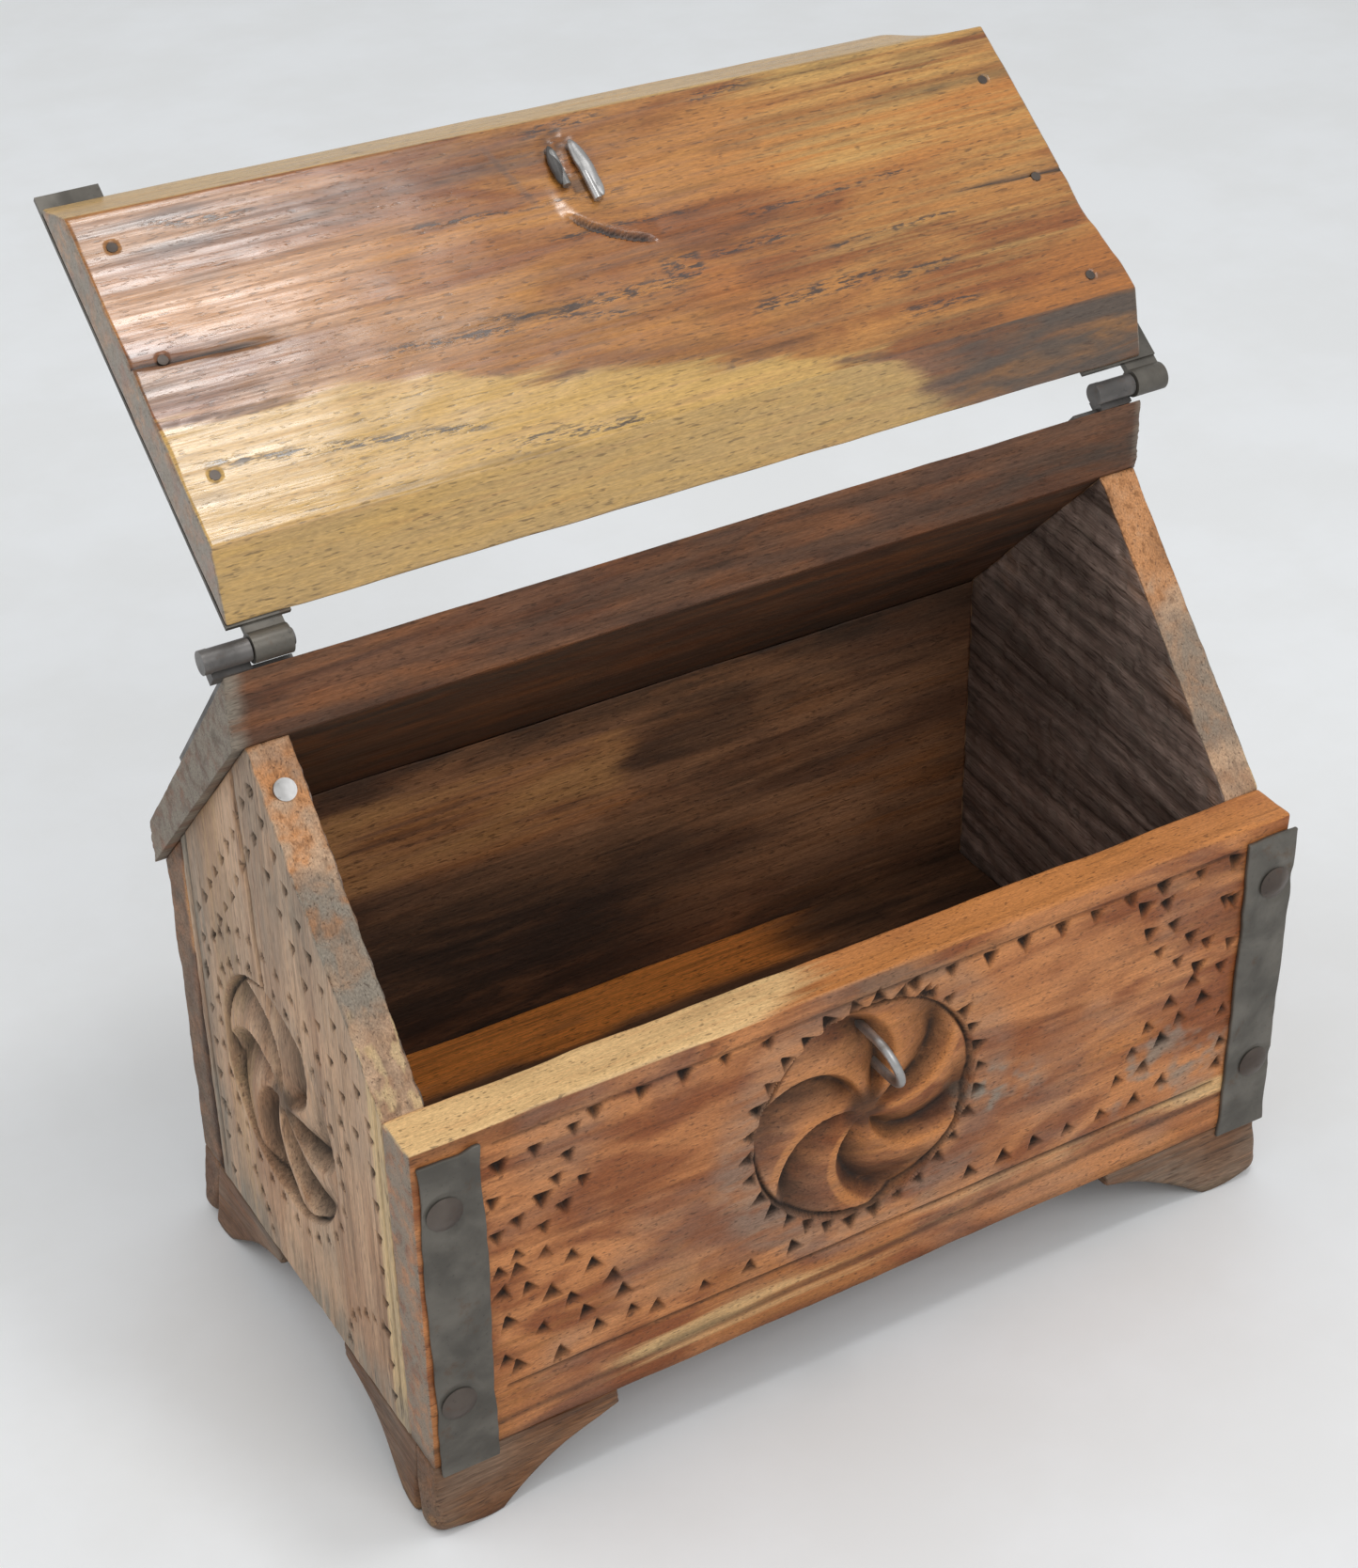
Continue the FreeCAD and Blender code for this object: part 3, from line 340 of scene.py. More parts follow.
def front_board():
    spacing = 0.58
    lines = [grid_lines(front_low[0], front_high[0], spacing, 2.0),
             grid_lines(front_low[1], front_high[1], 2.4, 1.6),
             grid_lines(front_low[2], front_high[2], spacing, 2.0)]
    flat, quads = box_skin(lines)
    radius = 1.0 + 0.7 * layered(flat, (30, 9, 9), 3)
    points = worn(flat, front_low, front_high, np.clip(radius, 0.35, 2.0))
    x, y, z = flat.T
    on_front = flat[:, 1] <= front_low[1] + 1e-6
    depth, shade, ridge = np.zeros((3, len(flat)))
    depth[on_front], shade[on_front], ridge[on_front] = front_carving(x[on_front], z[on_front])
    hewn = 0.30 * layered(flat, (60, 20, 14), 5) + 0.10 * layered(flat, (14, 4, 3), 8)
    points[:, 1] += np.where(on_front, depth + np.maximum(hewn, -0.2), 0)
    top = step(FRONT_TOP - 2, FRONT_TOP, z)
    points[:, 2] -= top * (0.7 + 0.7 * layered(flat, (22, 8, 5), 11))
    wander = layered(flat, (70, 14, 9), 21)
    broad = layered(flat, (45, 20, 20), 24)
    band = near(z, BOX_BOTTOM + 13 + 0.012 * x + 2 * wander, 5, 4) * step(-125, -70, x)
    seam = near(z, BOX_BOTTOM + 11 + 0.025 * x, 0.5, 1.6) * on_front
    ends = np.abs(x) >= front_high[0] - 1e-6
    stained = near(np.hypot((x - 108) / 1.3, z - 62), 0, 10, 16)
    stained += near(np.hypot((x - 40) / 1.5, z - 78), 0, 6, 12)
    ring = near(np.hypot(x - ROSETTE[0], z - ROSETTE[1]), 44, 3, 9)
    masks = {
        "sap": np.maximum(band * (0.36 + 0.5 * wander),
                          top * step(20, -60, x + 30 * wander) * (0.95 + 0.3 * broad)),
        "fresh": np.maximum(top * step(-70, 10, x + 40 * wander) * (0.85 + 0.4 * broad),
                            # 0.8 * ridge makes the rosette's crests paler: wear and a painted highlight.
                            on_front * np.maximum(0.6 * step(-0.1, 0.6, broad), 0.8 * ridge)),
        "dark": 0.45 * step(0.35, 0.9, wander) * (1 - top) + 0.30 * step(60, -140, x) * step(0.0, 0.7, broad),
        "grey": np.where(ends, 0.9, on_front * (0.25 * step(0, 0.8, layered(flat, 35, 31)) + 0.75 * stained
                                                * step(-0.2, 0.4, layered(flat, (9, 9, 7), 33)) + 0.3 * ring)),
        # Painted shade in the carved hollows, a dark seam, and darker along the bottom edge.
        "dirt": np.clip(shade + 0.55 * seam + 0.5 * step(BOX_BOTTOM + 5, BOX_BOTTOM, z), 0, 1),
    }
    stand_for(mesh_object("front_board", points, quads, masks), "front_panel", "box")
    return bpy.data.objects["front_board"]


front_object = front_board()

# %% [markdown]
# ## Side panels
# Both have the gable outline of the CAD panel. The left one is carved like the front, its sloping top is
# torn, and a crack runs down from the ridge.

# %% Side panels
SIDE_ROSETTE = np.array([BOX_MIDDLE + 8.0, BOX_BOTTOM + 71.5])
SIDE_CHIP = dict(length=4.6, width=4.6, deep=2.0)


def gable(y):
    """Height of a side panel's top over depth."""
    rising = FRONT_TOP + (y - left_low[1]) * math.tan(SIDE_SLOPE)
    falling = RAIL_BOTTOM - (y - RIDGE_Y) * ROOF_FALL
    return np.minimum(rising, falling)


def side_carving(y, z):
    """Seen from the left, the panel's front is on the right, so u runs towards the front."""
    u, v = SIDE_ROSETTE[0] - y, z - SIDE_ROSETTE[1]
    depth, shade, ridge = rosette(u, v, ROSETTE_RADIUS, 55.0, 20.0)
    spots = arc((0, 0), 43.0, 0, 345, 9.0, UP) + arc((0, 0), 53.0, 20, 160, 9.0, UP)
    front_edge, back_edge = SIDE_ROSETTE[0] - left_low[1] - 9, SIDE_ROSETTE[0] - left_high[1] + 9
    bottom = BOX_BOTTOM - SIDE_ROSETTE[1] + 8
    for inset in (9.0, 19.0):
        low_end = (front_edge - inset + 9, FRONT_TOP - SIDE_ROSETTE[1] - inset)
        ridge_end = (SIDE_ROSETTE[0] - RIDGE_Y, RAIL_BOTTOM - SIDE_ROSETTE[1] - 1.6 * inset)
        eave_end = (back_edge + inset - 9, EAVE_BOTTOM - SIDE_ROSETTE[1] - 0.3 * inset)
        spots += row(low_end, ridge_end, 9.5, DOWN) + row(eave_end, ridge_end, 9.5, DOWN)
    spots += row((front_edge, bottom), (front_edge, FRONT_TOP - SIDE_ROSETTE[1] - 14), 12.0, DOWN)
    spots += row((back_edge, bottom), (back_edge, EAVE_BOTTOM - SIDE_ROSETTE[1] - 14), 12.0, DOWN)
    spots += arc((front_edge, bottom - 4), 30.0, 95, 175, 7.0, UP)
    spots += arc((back_edge, bottom - 4), 30.0, 5, 85, 7.0, UP)
    cuts = chips(u, v, spots, seed=6, **SIDE_CHIP)
    lines = groove(u - front_edge - 5, 0.9, 0.8) + groove(u - back_edge + 5, 0.9, 0.8)
    lines *= step(bottom - 4, bottom, v)
    # The chips and grooves are darkened as painted shade in the hollows.
    return np.maximum(depth, np.maximum(cuts, lines)), np.maximum(shade, np.maximum(cuts, lines)), ridge


def side_board(name, node, low, high, carved):
    outer = -1 if carved else 1
    spacing = 0.75 if carved else 1.2
    lines = [grid_lines(low[0], high[0], 1.0 if carved else 1.6, 1.6),
             grid_lines(low[1], high[1], spacing, 1.6),
             grid_lines(low[2], high[2], spacing, 2.0)]
    flat, quads = box_skin(lines)
    radius = np.clip(0.9 + 0.8 * layered(flat, (9, 14, 14), 41), 0.3, 1.9)
    points = worn(flat, low, high, radius)
    lift = (points[:, 2] - low[2]) / (high[2] - low[2])
    points[:, 2] = low[2] + lift * (gable(points[:, 1]) - low[2])
    place = points.copy()
    x, y, z = place.T
    outer_face = flat[:, 0] <= low[0] + 1e-6 if carved else flat[:, 0] >= high[0] - 1e-6
    inner_face = flat[:, 0] >= high[0] - 1e-6 if carved else flat[:, 0] <= low[0] + 1e-6
    top = step(high[2] - 2.5, high[2], flat[:, 2])
    slope = top * step(RIDGE_Y + 3, RIDGE_Y - 1, y)
    along = (y - low[1]) / (RIDGE_Y - low[1])
    depth, shade, ridge = np.zeros((3, len(flat)))
    if carved:
        depth[outer_face], shade[outer_face], ridge[outer_face] = side_carving(y[outer_face], z[outer_face])
    hewn = 0.30 * layered(place, (14, 20, 60), 45) + 0.10 * layered(place, (3, 3, 14), 48)
    points[:, 0] -= outer * np.where(outer_face, depth + np.maximum(hewn, -0.2), 0)
    saw = np.sin((z - 0.1 * y + 7 * layered(place, (20, 60, 20), 52)) * 2 * np.pi / 9)
    fuzz = layered(place, (3, 3, 5), 53)
    points[:, 0] += outer * np.where(inner_face, 0.20 * saw + 0.5 + 0.35 * fuzz, 0)
    chew = layered(place, (6, 4, 4), 55, 4)
    torn = layered(place, (3, 7, 7), 57)
    bite = slope * (0.7 + 0.9 * np.clip(chew, -0.6, 1.2)) if carved else slope * (0.3 + 0.25 * chew)
    points[:, 1] += bite * math.sin(SIDE_SLOPE)
    points[:, 2] -= bite * math.cos(SIDE_SLOPE)
    crack_y = BOX_MIDDLE + 12 + 0.14 * np.maximum(z - 178, 0) + 1.6 * noise(place * [0, 0, 1], 26, 61)
    crack = near(y, crack_y, 0.4, 1.0) * step(118, 150, z) * (outer_face & carved)
    points[:, 0] -= outer * 2.0 * crack
    wander = layered(place, (12, 14, 90), 63)
    # The band along the back and bottom edges is greyed as a painted reflection, a sheen off the outer face.
    sheen_border = np.maximum(step(high[1] - 20, high[1] - 6, y), step(low[2] + 20, low[2] + 5, z))
    beyond = step(0.3, -0.3, y - crack_y) * step(140, 165, z) * outer_face
    strip = near(y, low[1] + 4 + 1.5 * wander, 3, 3) * outer_face
    lit_edge = inner_face * step(26, 6, gable(y) - z) * step(-0.3, 0.5, layered(place, (9, 14, 14), 64))
    if carved:
        orange = step(0.58, 0.70, along + 0.05 * chew) * (0.55 + 0.5 * chew)
        orange += near(along, 0.52, 0.03, 0.03) * step(0, 0.4, torn)
        slate = near(along, 0.44, 0.13, 0.10)
        fibres = 0.7 * step(0.42, 0.25, along) * step(-0.1, 0.5, torn)
    else:
        orange = 0.75 * step(0.45, 0.75, along + 0.1 * chew)
        slate = 0.6 * near(along, 0.35, 0.14, 0.10)
        fibres = 0.25 * step(0.2, 0.0, along)
    pale_back = 0.35 * near(y, high[1] - 26, 6, 8) * outer_face
    # Grey on the outer face: weathering, and a painted reflection along the border.
    weathering_and_sheen = 0.25 + 0.6 * sheen_border + 0.45 * beyond + 0.3 * layered(place, 30, 66)
    masks = {
        "sap": np.maximum(0.9 * strip, np.maximum(slope * fibres, pale_back)),
        # lit_edge is painted light along the top of the inner face; ridge makes the crests paler, wear and a
        # painted highlight.
        "fresh": np.maximum(slope * np.clip(orange, 0, 1), np.maximum(0.4 * lit_edge, 0.35 * ridge)),
        "dark": np.where(inner_face, 0.30 + 0.25 * wander - 0.3 * lit_edge, 0.35 * step(0.3, 0.9, wander))
                + 0.55 * slope * slate,
        "grey": np.where(outer_face, weathering_and_sheen, np.where(inner_face, 0.35 * step(0.35, 0.7, fuzz), 0))
                + slope * (0.35 + 0.6 * slate - 0.5 * np.clip(orange, 0, 1)),
        # Painted shade in the carved hollows and the crack; the inner face is darker in the troughs of its saw
        # marks.
        "dirt": np.clip(np.maximum(shade, crack) + np.where(inner_face, 0.22 - 0.22 * saw, 0), 0, 1),
    }
    stand_for(mesh_object(name, points, quads, masks), node, "box")
    return bpy.data.objects[name], inner_face[quads].all(1)


side_objects = [side_board("left_side_board", "left_side_panel", left_low, left_high, True),
                side_board("right_side_board", "right_side_panel", right_low, right_high, False)]

# %% [markdown]
# ## Back, floor and roof
# These are plainer. The back panel's inner face has a paler patch, and the floor an orange streak.

# %% Back, floor and roof
def plain_board(name, node, low, high, mapping, mask_rule, spacing=2.2, seed=71):
    lines = [grid_lines(a, b, spacing if b - a > 25 else 3.0, 1.6) for a, b in zip(low, high)]
    flat, quads = box_skin(lines)
    radius = np.clip(1.0 + 0.8 * layered(flat, (30, 9, 9), seed), 0.3, 2.0)
    points = mapping(worn(flat, low, high, radius))
    place = points.copy()
    inwards = (low + high) / 2 - flat
    inwards = np.where(np.abs(inwards) >= (high - low) / 2 - 1e-6, np.sign(inwards), 0)
    hewn = 0.12 + 0.22 * layered(place, (60, 16, 16), seed + 3) + 0.1 * layered(place, (14, 3, 3), seed + 6)
    points += inwards * np.maximum(hewn, 0)[:, None]
    stand_for(mesh_object(name, points, quads, mask_rule(place, flat)), node, "box")
    return bpy.data.objects[name]


def back_map(points):
    lift = (points[:, 2] - back_low[2]) / (back_high[2] - back_low[2])
    top = RAIL_BOTTOM - (points[:, 1] - RIDGE_Y) * ROOF_FALL
    return np.column_stack([points[:, 0], points[:, 1], back_low[2] + lift * (top - back_low[2])])


def back_masks(place, flat):
    x, y, z = place.T
    wander = layered(place, (60, 12, 10), 81)
    inner = y < back_low[1] + 3
    patch = step(18, -8, x + 9 * wander) * near(z, 128 + 3 * wander, 12, 9) * inner
    lighter = step(-10, 60, x) * near(z, 92, 28, 30) * inner
    return {"sap": patch * (0.62 + 0.5 * wander), "fresh": 0.34 * lighter * (0.6 + wander) + 0.35 * patch,
            # step(142, 165, z) darkens the top of the inner face: a painted shadow under the roof.
            "dark": np.where(inner, 0.50 - 0.75 * patch - 0.38 * lighter + 0.5 * step(142, 165, z), 0.3)
                    + 0.45 * wander,
            "grey": np.where(inner, 0.08, 0.45),
            # Darker towards the lower left of the inner face.
            "dirt": np.where(inner, 0.75 * step(112, 84, z) * step(70, -30, x + 20 * wander), 0.15)}


def floor_masks(place, flat):
    x, y, z = place.T
    wander = layered(place, (60, 10, 10), 85)
    streak = near(y - BOX_MIDDLE + 4 * wander, 62, 16, 9) * step(95, 25, x + 14 * wander)
    return {"sap": 0.0 * x, "fresh": streak * (1.0 + 0.5 * wander),
            "dark": 0.60 - 0.8 * streak + 0.35 * wander,
            "grey": 0.05 + 0.0 * x, "dirt": (0.25 + 0.3 * np.clip(wander, 0, 1)) * (1 - streak)}


def roof_map(points):
    t = (points[:, 2] - EAVE_BOTTOM) / (RIDGE_TOP - EAVE_BOTTOM)
    along = (points[:, 1] - RIDGE_Y) / (back_high[1] - RIDGE_Y)
    under = RAIL_BOTTOM + along * (EAVE_BOTTOM - RAIL_BOTTOM)
    over = RIDGE_TOP + along * (EAVE_BOTTOM + EAVE_EDGE - RIDGE_TOP)
    return np.column_stack([points[:, 0], points[:, 1], under + t * (over - under)])


def roof_masks(place, flat):
    x, y, z = place.T
    wander = layered(place, (80, 12, 10), 91)
    rail = step(RIDGE_Y + 2, RIDGE_Y, flat[:, 1])
    arris = near(z, RIDGE_TOP, 0.6, 1.6) * step(RIDGE_Y + 4, RIDGE_Y + 1, flat[:, 1])
    ends = step(146, 151, np.abs(x))
    return {"sap": 0.10 * step(0.2, 0.9, wander),
            "fresh": 0.45 * arris * step(-0.1, 0.5, layered(place, (9, 4, 4), 93))
                     + 0.28 * rail * step(-0.2, 0.6, wander),
            "dark": np.where(rail > 0.5, 0.40 + 0.35 * step(60, 140, x), 0.90) + 0.4 * wander,
            "grey": 0.12 + 0.8 * ends, "dirt": 0.3 * step(0.3, 0.9, layered(place, (20, 5, 5), 95))}


back_object = plain_board("back_board", "back_panel", back_low, back_high,
                          back_map, back_masks, seed=71)
floor_object = plain_board("floor_plank", "floor_board", floor_low, floor_high,
                           lambda points: points, floor_masks, seed=75)
roof_object = plain_board("roof_plank", "roof_board", roof_low, roof_high, roof_map, roof_masks,
                          spacing=1.6, seed=79)

# %% [markdown]
# ## Lid
# The lid is drawn about its hinge axis, y up the slope and z out of the lid, and then turned open. Its front
# edge is cut a little out of square, and its inner face shows grain, pits, splits and a torn splinter.

# %% Lid
LID_HALF = (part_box("lid_board")[1].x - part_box("lid_board")[0].x) / 2 / MM
LID_THICK, PIN_AHEAD, PIN_HEIGHT = 14.5, 6.0, 3.0
LID_FRONT_GAP, LID_END_RUN, LID_SKEW = 3.6, 13.0, 2.8
LID_UNDER = -PIN_HEIGHT - LID_THICK
LID_BEVEL = -PIN_AHEAD - LID_THICK * math.tan(SIDE_SLOPE)
LID_OUTER = (FRONT_TOP + LID_FRONT_GAP - PIN[2] + PIN_HEIGHT * math.cos(SIDE_SLOPE)) / math.sin(SIDE_SLOPE)
LID_INNER = LID_BEVEL - LID_OUTER - LID_END_RUN
NAIL_INSET, NAIL_PITCH = 9.5, 36.0
LID_END_SWELL = 3.0
NAIL_START = {-1: 21.9, 1: 33.9}
CLENCH = np.array([-4.0, LID_OUTER + 23.9])
# first and last x, distance from the hinge edge at both, half width
PIT_LINES = ((-141, -60, 24, 13, 0.8), (-80, -40, 42, 39, 0.7), (-58, -14, 5.5, 1.5, 1.0),
             (-30, 14, 41, 40, 1.1),
             (-50, -4, 44, 34, 0.6), (24, 54, 45, 45.5, 0.8), (28, 76, 25.5, 27, 1.4), (72, 102, 12, 12, 1.0),
             (74, 100, 24, 24.5, 1.0), (-14, 14, 97, 98, 1.2), (38, 64, 96, 97, 0.9), (-128, -98, 96, 93, 0.8),
             (-20, 30, 62, 61, 0.4), (40, 100, 55, 57, 0.4), (-60, 10, 76, 73, 0.35), (60, 110, 38, 40, 0.5))


def lid_turned(points):
    """From the lid's own frame to the open lid's place."""
    c, s = math.cos(LID_TURN), math.sin(LID_TURN)
    x, y, z = points.T
    return np.column_stack([x, PIN[1] + y * c - z * s, PIN[2] + y * s + z * c])


def pit_lines(x, from_hinge, wander):
    """How strongly each point lies on one of the long dark pore streaks."""
    dark = np.zeros_like(x)
    for first, last, start, end, half in PIT_LINES:
        line = start + (end - start) * (x - first) / (last - first) + 0.8 * wander
        ends = step(first - 4, first + 6, x) * step(last + 4, last - 6, x)
        dark = np.maximum(dark, near(from_hinge, line, half, half + 0.5) * ends)
    return dark


def lid_board():
    low = np.array([-LID_HALF, 0.0, 0.0])
    high = np.array([LID_HALF, LID_INNER, LID_THICK])
    spacing = 0.75
    lines = [grid_lines(low[0], high[0], spacing, 1.6), grid_lines(low[1], high[1], spacing, 1.8),
             grid_lines(low[2], high[2], 1.6, 1.6)]
    flat, quads = box_skin(lines)
    radius = np.clip(0.8 + 0.6 * layered(flat, (30, 12, 9), 101), 0.3, 1.5)
    points = worn(flat, low, high, radius)
    share, w = points[:, 1] / LID_INNER, points[:, 2]
    toe = LID_OUTER + np.interp(w, [0, LID_THICK], [LID_END_RUN, 0]) + LID_SKEW * points[:, 0] / LID_HALF
    toe += 7 * (w / LID_THICK) * step(122, 148, points[:, 0])
    heel = np.interp(w, [0, LID_THICK], [LID_BEVEL, -PIN_AHEAD])
    local = np.column_stack([points[:, 0], toe + share * (heel - toe), LID_UNDER + w])
    x, y, z = local.T
    from_hinge = LID_BEVEL - y
    local[:, 0] += LID_END_SWELL * step(90, LID_HALF, x) * step(34, 4, from_hinge)
    inner = flat[:, 2] <= 1e-6
    heel_face = flat[:, 1] >= LID_INNER - 1e-6
    toe_face = flat[:, 1] <= 1e-6
    end_face = np.abs(flat[:, 0]) >= LID_HALF - 1e-6
    wander = layered(local, (80, 10, 12), 105)
    fine = layered(local, (24, 2.2, 3), 109)
    grit = layered(local, (3.5, 1.6, 3), 113)
    nails, splits = np.zeros(len(flat)), np.zeros(len(flat))
    for side, start in NAIL_START.items():
        for n in range(3):
            r = np.hypot(x - side * (LID_HALF - NAIL_INSET), y - (LID_OUTER + start + NAIL_PITCH * n))
            nails = np.maximum(nails, near(r, 0, 0.9, 1.1) * inner)
        middle = LID_OUTER + start + NAIL_PITCH + 0.05 * (x - side * LID_HALF) + 0.5 * wander
        splits = np.maximum(splits, near(y, middle, 0.15, 0.7) * step(100, 122, side * x) * inner)
    tear_y = CLENCH[1] + 30.5 + 0.58 * (x - CLENCH[0] - 4) - 0.016 * (x - CLENCH[0] - 4) ** 2
    tear = near(y, tear_y, 0.5 + 0.25 * grit, 0.8) * near(x, CLENCH[0] + 4, 8, 4) * inner
    sliver = step(-13, -1, y - tear_y) * step(0.6, -0.6, y - tear_y) * near(x, CLENCH[0] + 4, 7, 7) * inner
    bruise = near(np.hypot(x - CLENCH[0], (y - CLENCH[1] - 6) / 2), 0, 4, 4) * step(-0.3, 0.5, grit) * inner
    scratch = near(x, CLENCH[0] - 20 + 0.35 * (y - CLENCH[1]), 0.6, 1.0) * near(y, CLENCH[1] + 5, 8, 5) * inner
    pits = np.maximum(pit_lines(x, from_hinge, wander), near(x, 15, 5, 3) * near(from_hinge, 44, 3, 3)) * inner
    dents = 0.25 * layered(local, (40, 18, 9), 112) + 0.05 * fine
    local[:, 2] += inner * (np.maximum(dents, -0.12) + 1.0 * nails + 0.9 * splits + 1.6 * tear - 0.9 * sliver
                            + 0.4 * bruise)
    local[:, 1] -= heel_face * (0.2 + 0.25 * layered(local, (40, 9, 9), 115))
    edge_line = np.interp(x, [-150, -112, -70, -25, 16, 62, 90], [37, 35, 30.5, 19, 8.5, 1, -12])
    edge_line = edge_line + 1.5 * wander
    above = from_hinge - edge_line
    sap = step(7, -6, above + 4 * fine) * (inner | heel_face)
    seam = near(above, 0.6, 0.6, 1.6) * step(-0.2, 0.5, fine + 0.4 * grit) * inner * step(75, 55, x)
    golden = 0.36 * step(-10, 90, x) + 0.14 * near(from_hinge, 92, 7, 8) * step(20, 90, x)
    golden = golden * (0.9 + 0.5 * wander)
    glow = near(from_hinge, 72 + 4 * wander, 8, 12) * step(10, 90, x)
    glow += 0.6 * near(x, 24, 3, 9) * near(from_hinge, 26, 12, 10)
    band = near(from_hinge, 81 + 2 * wander, 1.5, 4) * step(20, 80, x)
    band += near(from_hinge, 3, 3, 4) * step(40, 80, x)
    heart = near(above, 12, 7, 9) * step(70, 10, x) + near(from_hinge, 103, 12, 14) * step(60, -30, x)
    right_heel = heel_face * step(66, 92, x + 8 * wander + 6 * fine)
    corner = inner * step(-4, 5, 0.42 * (x - 92) - from_hinge + 3 * fine)
    masks = {
        "sap": np.maximum(np.maximum(sap, golden * inner) * (1 - right_heel) * (1 - corner), 0.75 * toe_face),
        "fresh": np.clip(0.55 * glow * inner + 0.25 * inner + 0.5 * corner
                         + 0.35 * right_heel * step(0.2, -0.2, fine), 0, 1),
        "dark": np.clip(0.35 * step(0.4, 1.0, fine + 0.4 * wander) * inner + 0.97 * right_heel
                        + 0.45 * band * inner * (1 - corner) + 0.18 * corner
                        + 0.45 * heart * inner * (0.6 + 0.6 * wander), 0, 1),
        "grey": np.where(end_face, 0.95, 0.0) + 0.55 * (flat[:, 2] >= LID_THICK - 1e-6) + 0.30 * toe_face
                # 0.22 * heel_face greys the bevel as painted shade, duller than the inner face.
                + 0.22 * heel_face,
        "dirt": np.clip(nails + splits + 0.6 * seam + tear + 0.6 * bruise + 0.3 * scratch, 0, 1),
        "pits": pits,
    }
    stand_for(mesh_object("lid_plank", lid_turned(local), quads, masks), "lid_board", "lid")
    return bpy.data.objects["lid_plank"]


def clenched_tail(name, x, start, end, width):
    """A leg of the eye, hammered flat against the lid's inner face."""
    low, high = np.array([-1.0, -1.0, -1.0]), np.array([1.0, 1.0, 1.0])
    flat, quads = box_skin([np.linspace(a, b, 13) for a, b in zip(low, high)])
    ball = flat / np.linalg.norm(flat, axis=1, keepdims=True)
    length = (end - start) / 2
    local = ball * [width / 2, length, 1.5] + [x, (start + end) / 2, LID_UNDER - 1.3]
    local[:, 2] -= 0.35 * layered(local, 4, 121)
    local[:, 0] += 0.10 * (local[:, 1] - start) * np.sign(x - CLENCH[0])
    thing = mesh_object(name, lid_turned(local), quads)
    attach(thing, "lid")
    return thing


lid_object = lid_board()
EYE_HALF = 3.5
tails = [clenched_tail("long_tail", CLENCH[0] + EYE_HALF, CLENCH[1] - 1.5, CLENCH[1] + 18.5, 4.8),
         clenched_tail("short_tail", CLENCH[0] - EYE_HALF, CLENCH[1] - 1.0, CLENCH[1] + 12.0, 3.4)]
print("clenched tails", [len(thing.data.vertices) for thing in tails])

# %% [markdown]
# ## Iron and feet
# The corner straps are hammered strips with uneven edges, dented round their nails. The other iron keeps the
# CAD shape with softened edges. The feet have rounded toes that flare outwards.

# %% Iron and feet
nail_mesh = nodes["corner_strap_nails"]
nail_points = np.array([nail_mesh.matrix_world @ vertex.co for vertex in nail_mesh.data.vertices]) / MM


def heads_on(low, high, side):
    """Middles of the nail heads that stand on one strap, as (x, z)."""
    face = low[1] if side < 0 else high[1]
    middle = (low[0] + high[0]) / 2
    on_strap = np.abs(nail_points[:, 0] - middle) < 14
    proud = nail_points[(side * (nail_points[:, 1] - face) > 0.5) & on_strap]
    half = (low[2] + high[2]) / 2
    return [proud[chosen].mean(0)[[0, 2]] for chosen in (proud[:, 2] < half, proud[:, 2] >= half)]


def corner_strap(node, seed):
    low, high = box_mm(node)
    side = -1 if low[1] < BOX_MIDDLE else 1
    lines = [grid_lines(low[0], high[0], 0.8, 0.6), np.linspace(low[1], high[1], 4),
             grid_lines(low[2], high[2], 0.9, 0.6)]
    flat, quads = box_skin(lines)
    points = worn(flat, low, high, 0.5)
    beaten = 0.10 * layered(flat, (9, 9, 14), seed) + 0.16 * layered(flat, (30, 30, 45), seed + 5)
    for x, z in heads_on(low, high, side):
        r = np.hypot(flat[:, 0] - x, flat[:, 2] - z)
        beaten -= 0.5 * near(r, 6.0, 0.4, 1.2)
    points[:, 1] += side * np.clip(0.05 + beaten, -0.5, 0.25)
    edge = (flat[:, 0] - (low[0] + high[0]) / 2) / ((high[0] - low[0]) / 2)
    upright = flat * [0, 0, 1]
    points[:, 0] += edge * 0.45 * layered(upright, 16, seed + 9) + 0.5 * noise(upright, 60, seed + 11)
    ragged = step(high[2] - 3, high[2], flat[:, 2])
    points[:, 2] -= ragged * (0.6 + 0.9 * noise(flat * [1, 0, 0], 5, seed + 13))
    stand_for(mesh_object(node + "_iron", points, quads), node, "box")
    return bpy.data.objects[node + "_iron"]


strap_nodes = [name for name in nodes if name.endswith("corner_strap")]
strap_objects = [corner_strap(name, 131 + 7 * n) for n, name in enumerate(sorted(strap_nodes))]
iron_nodes = [name for name in nodes if name.endswith("lid_strap")] + ["hasp"]
hinge_nodes = [name for name in nodes if name.endswith(("box_leaf", "hinge_pin"))]
nail_nodes = [name for name in nodes if "nail" in name or "brad" in name]
wire_nodes = ["front_staple", "hasp_eye"]
foot_nodes = [name for name in nodes if "_foot_" in name]


def soften(node, width):
    """Rounds the sharp edges of a CAD node as it is shown."""
    bevel = nodes[node].modifiers.new("soft_edges", "BEVEL")
    bevel.width = width * MM
    bevel.segments = 2
    bevel.limit_method = "ANGLE"
    bevel.angle_limit = math.radians(40)
    nodes[node].data.polygons.foreach_set("use_smooth", np.ones(len(nodes[node].data.polygons), bool))


FOOT_LENGTH, FOOT_LAND, FOOT_TIP, FOOT_SAG, FOOT_FLARE = 60.0, 22.0, 5.0, 3.1, 3.5


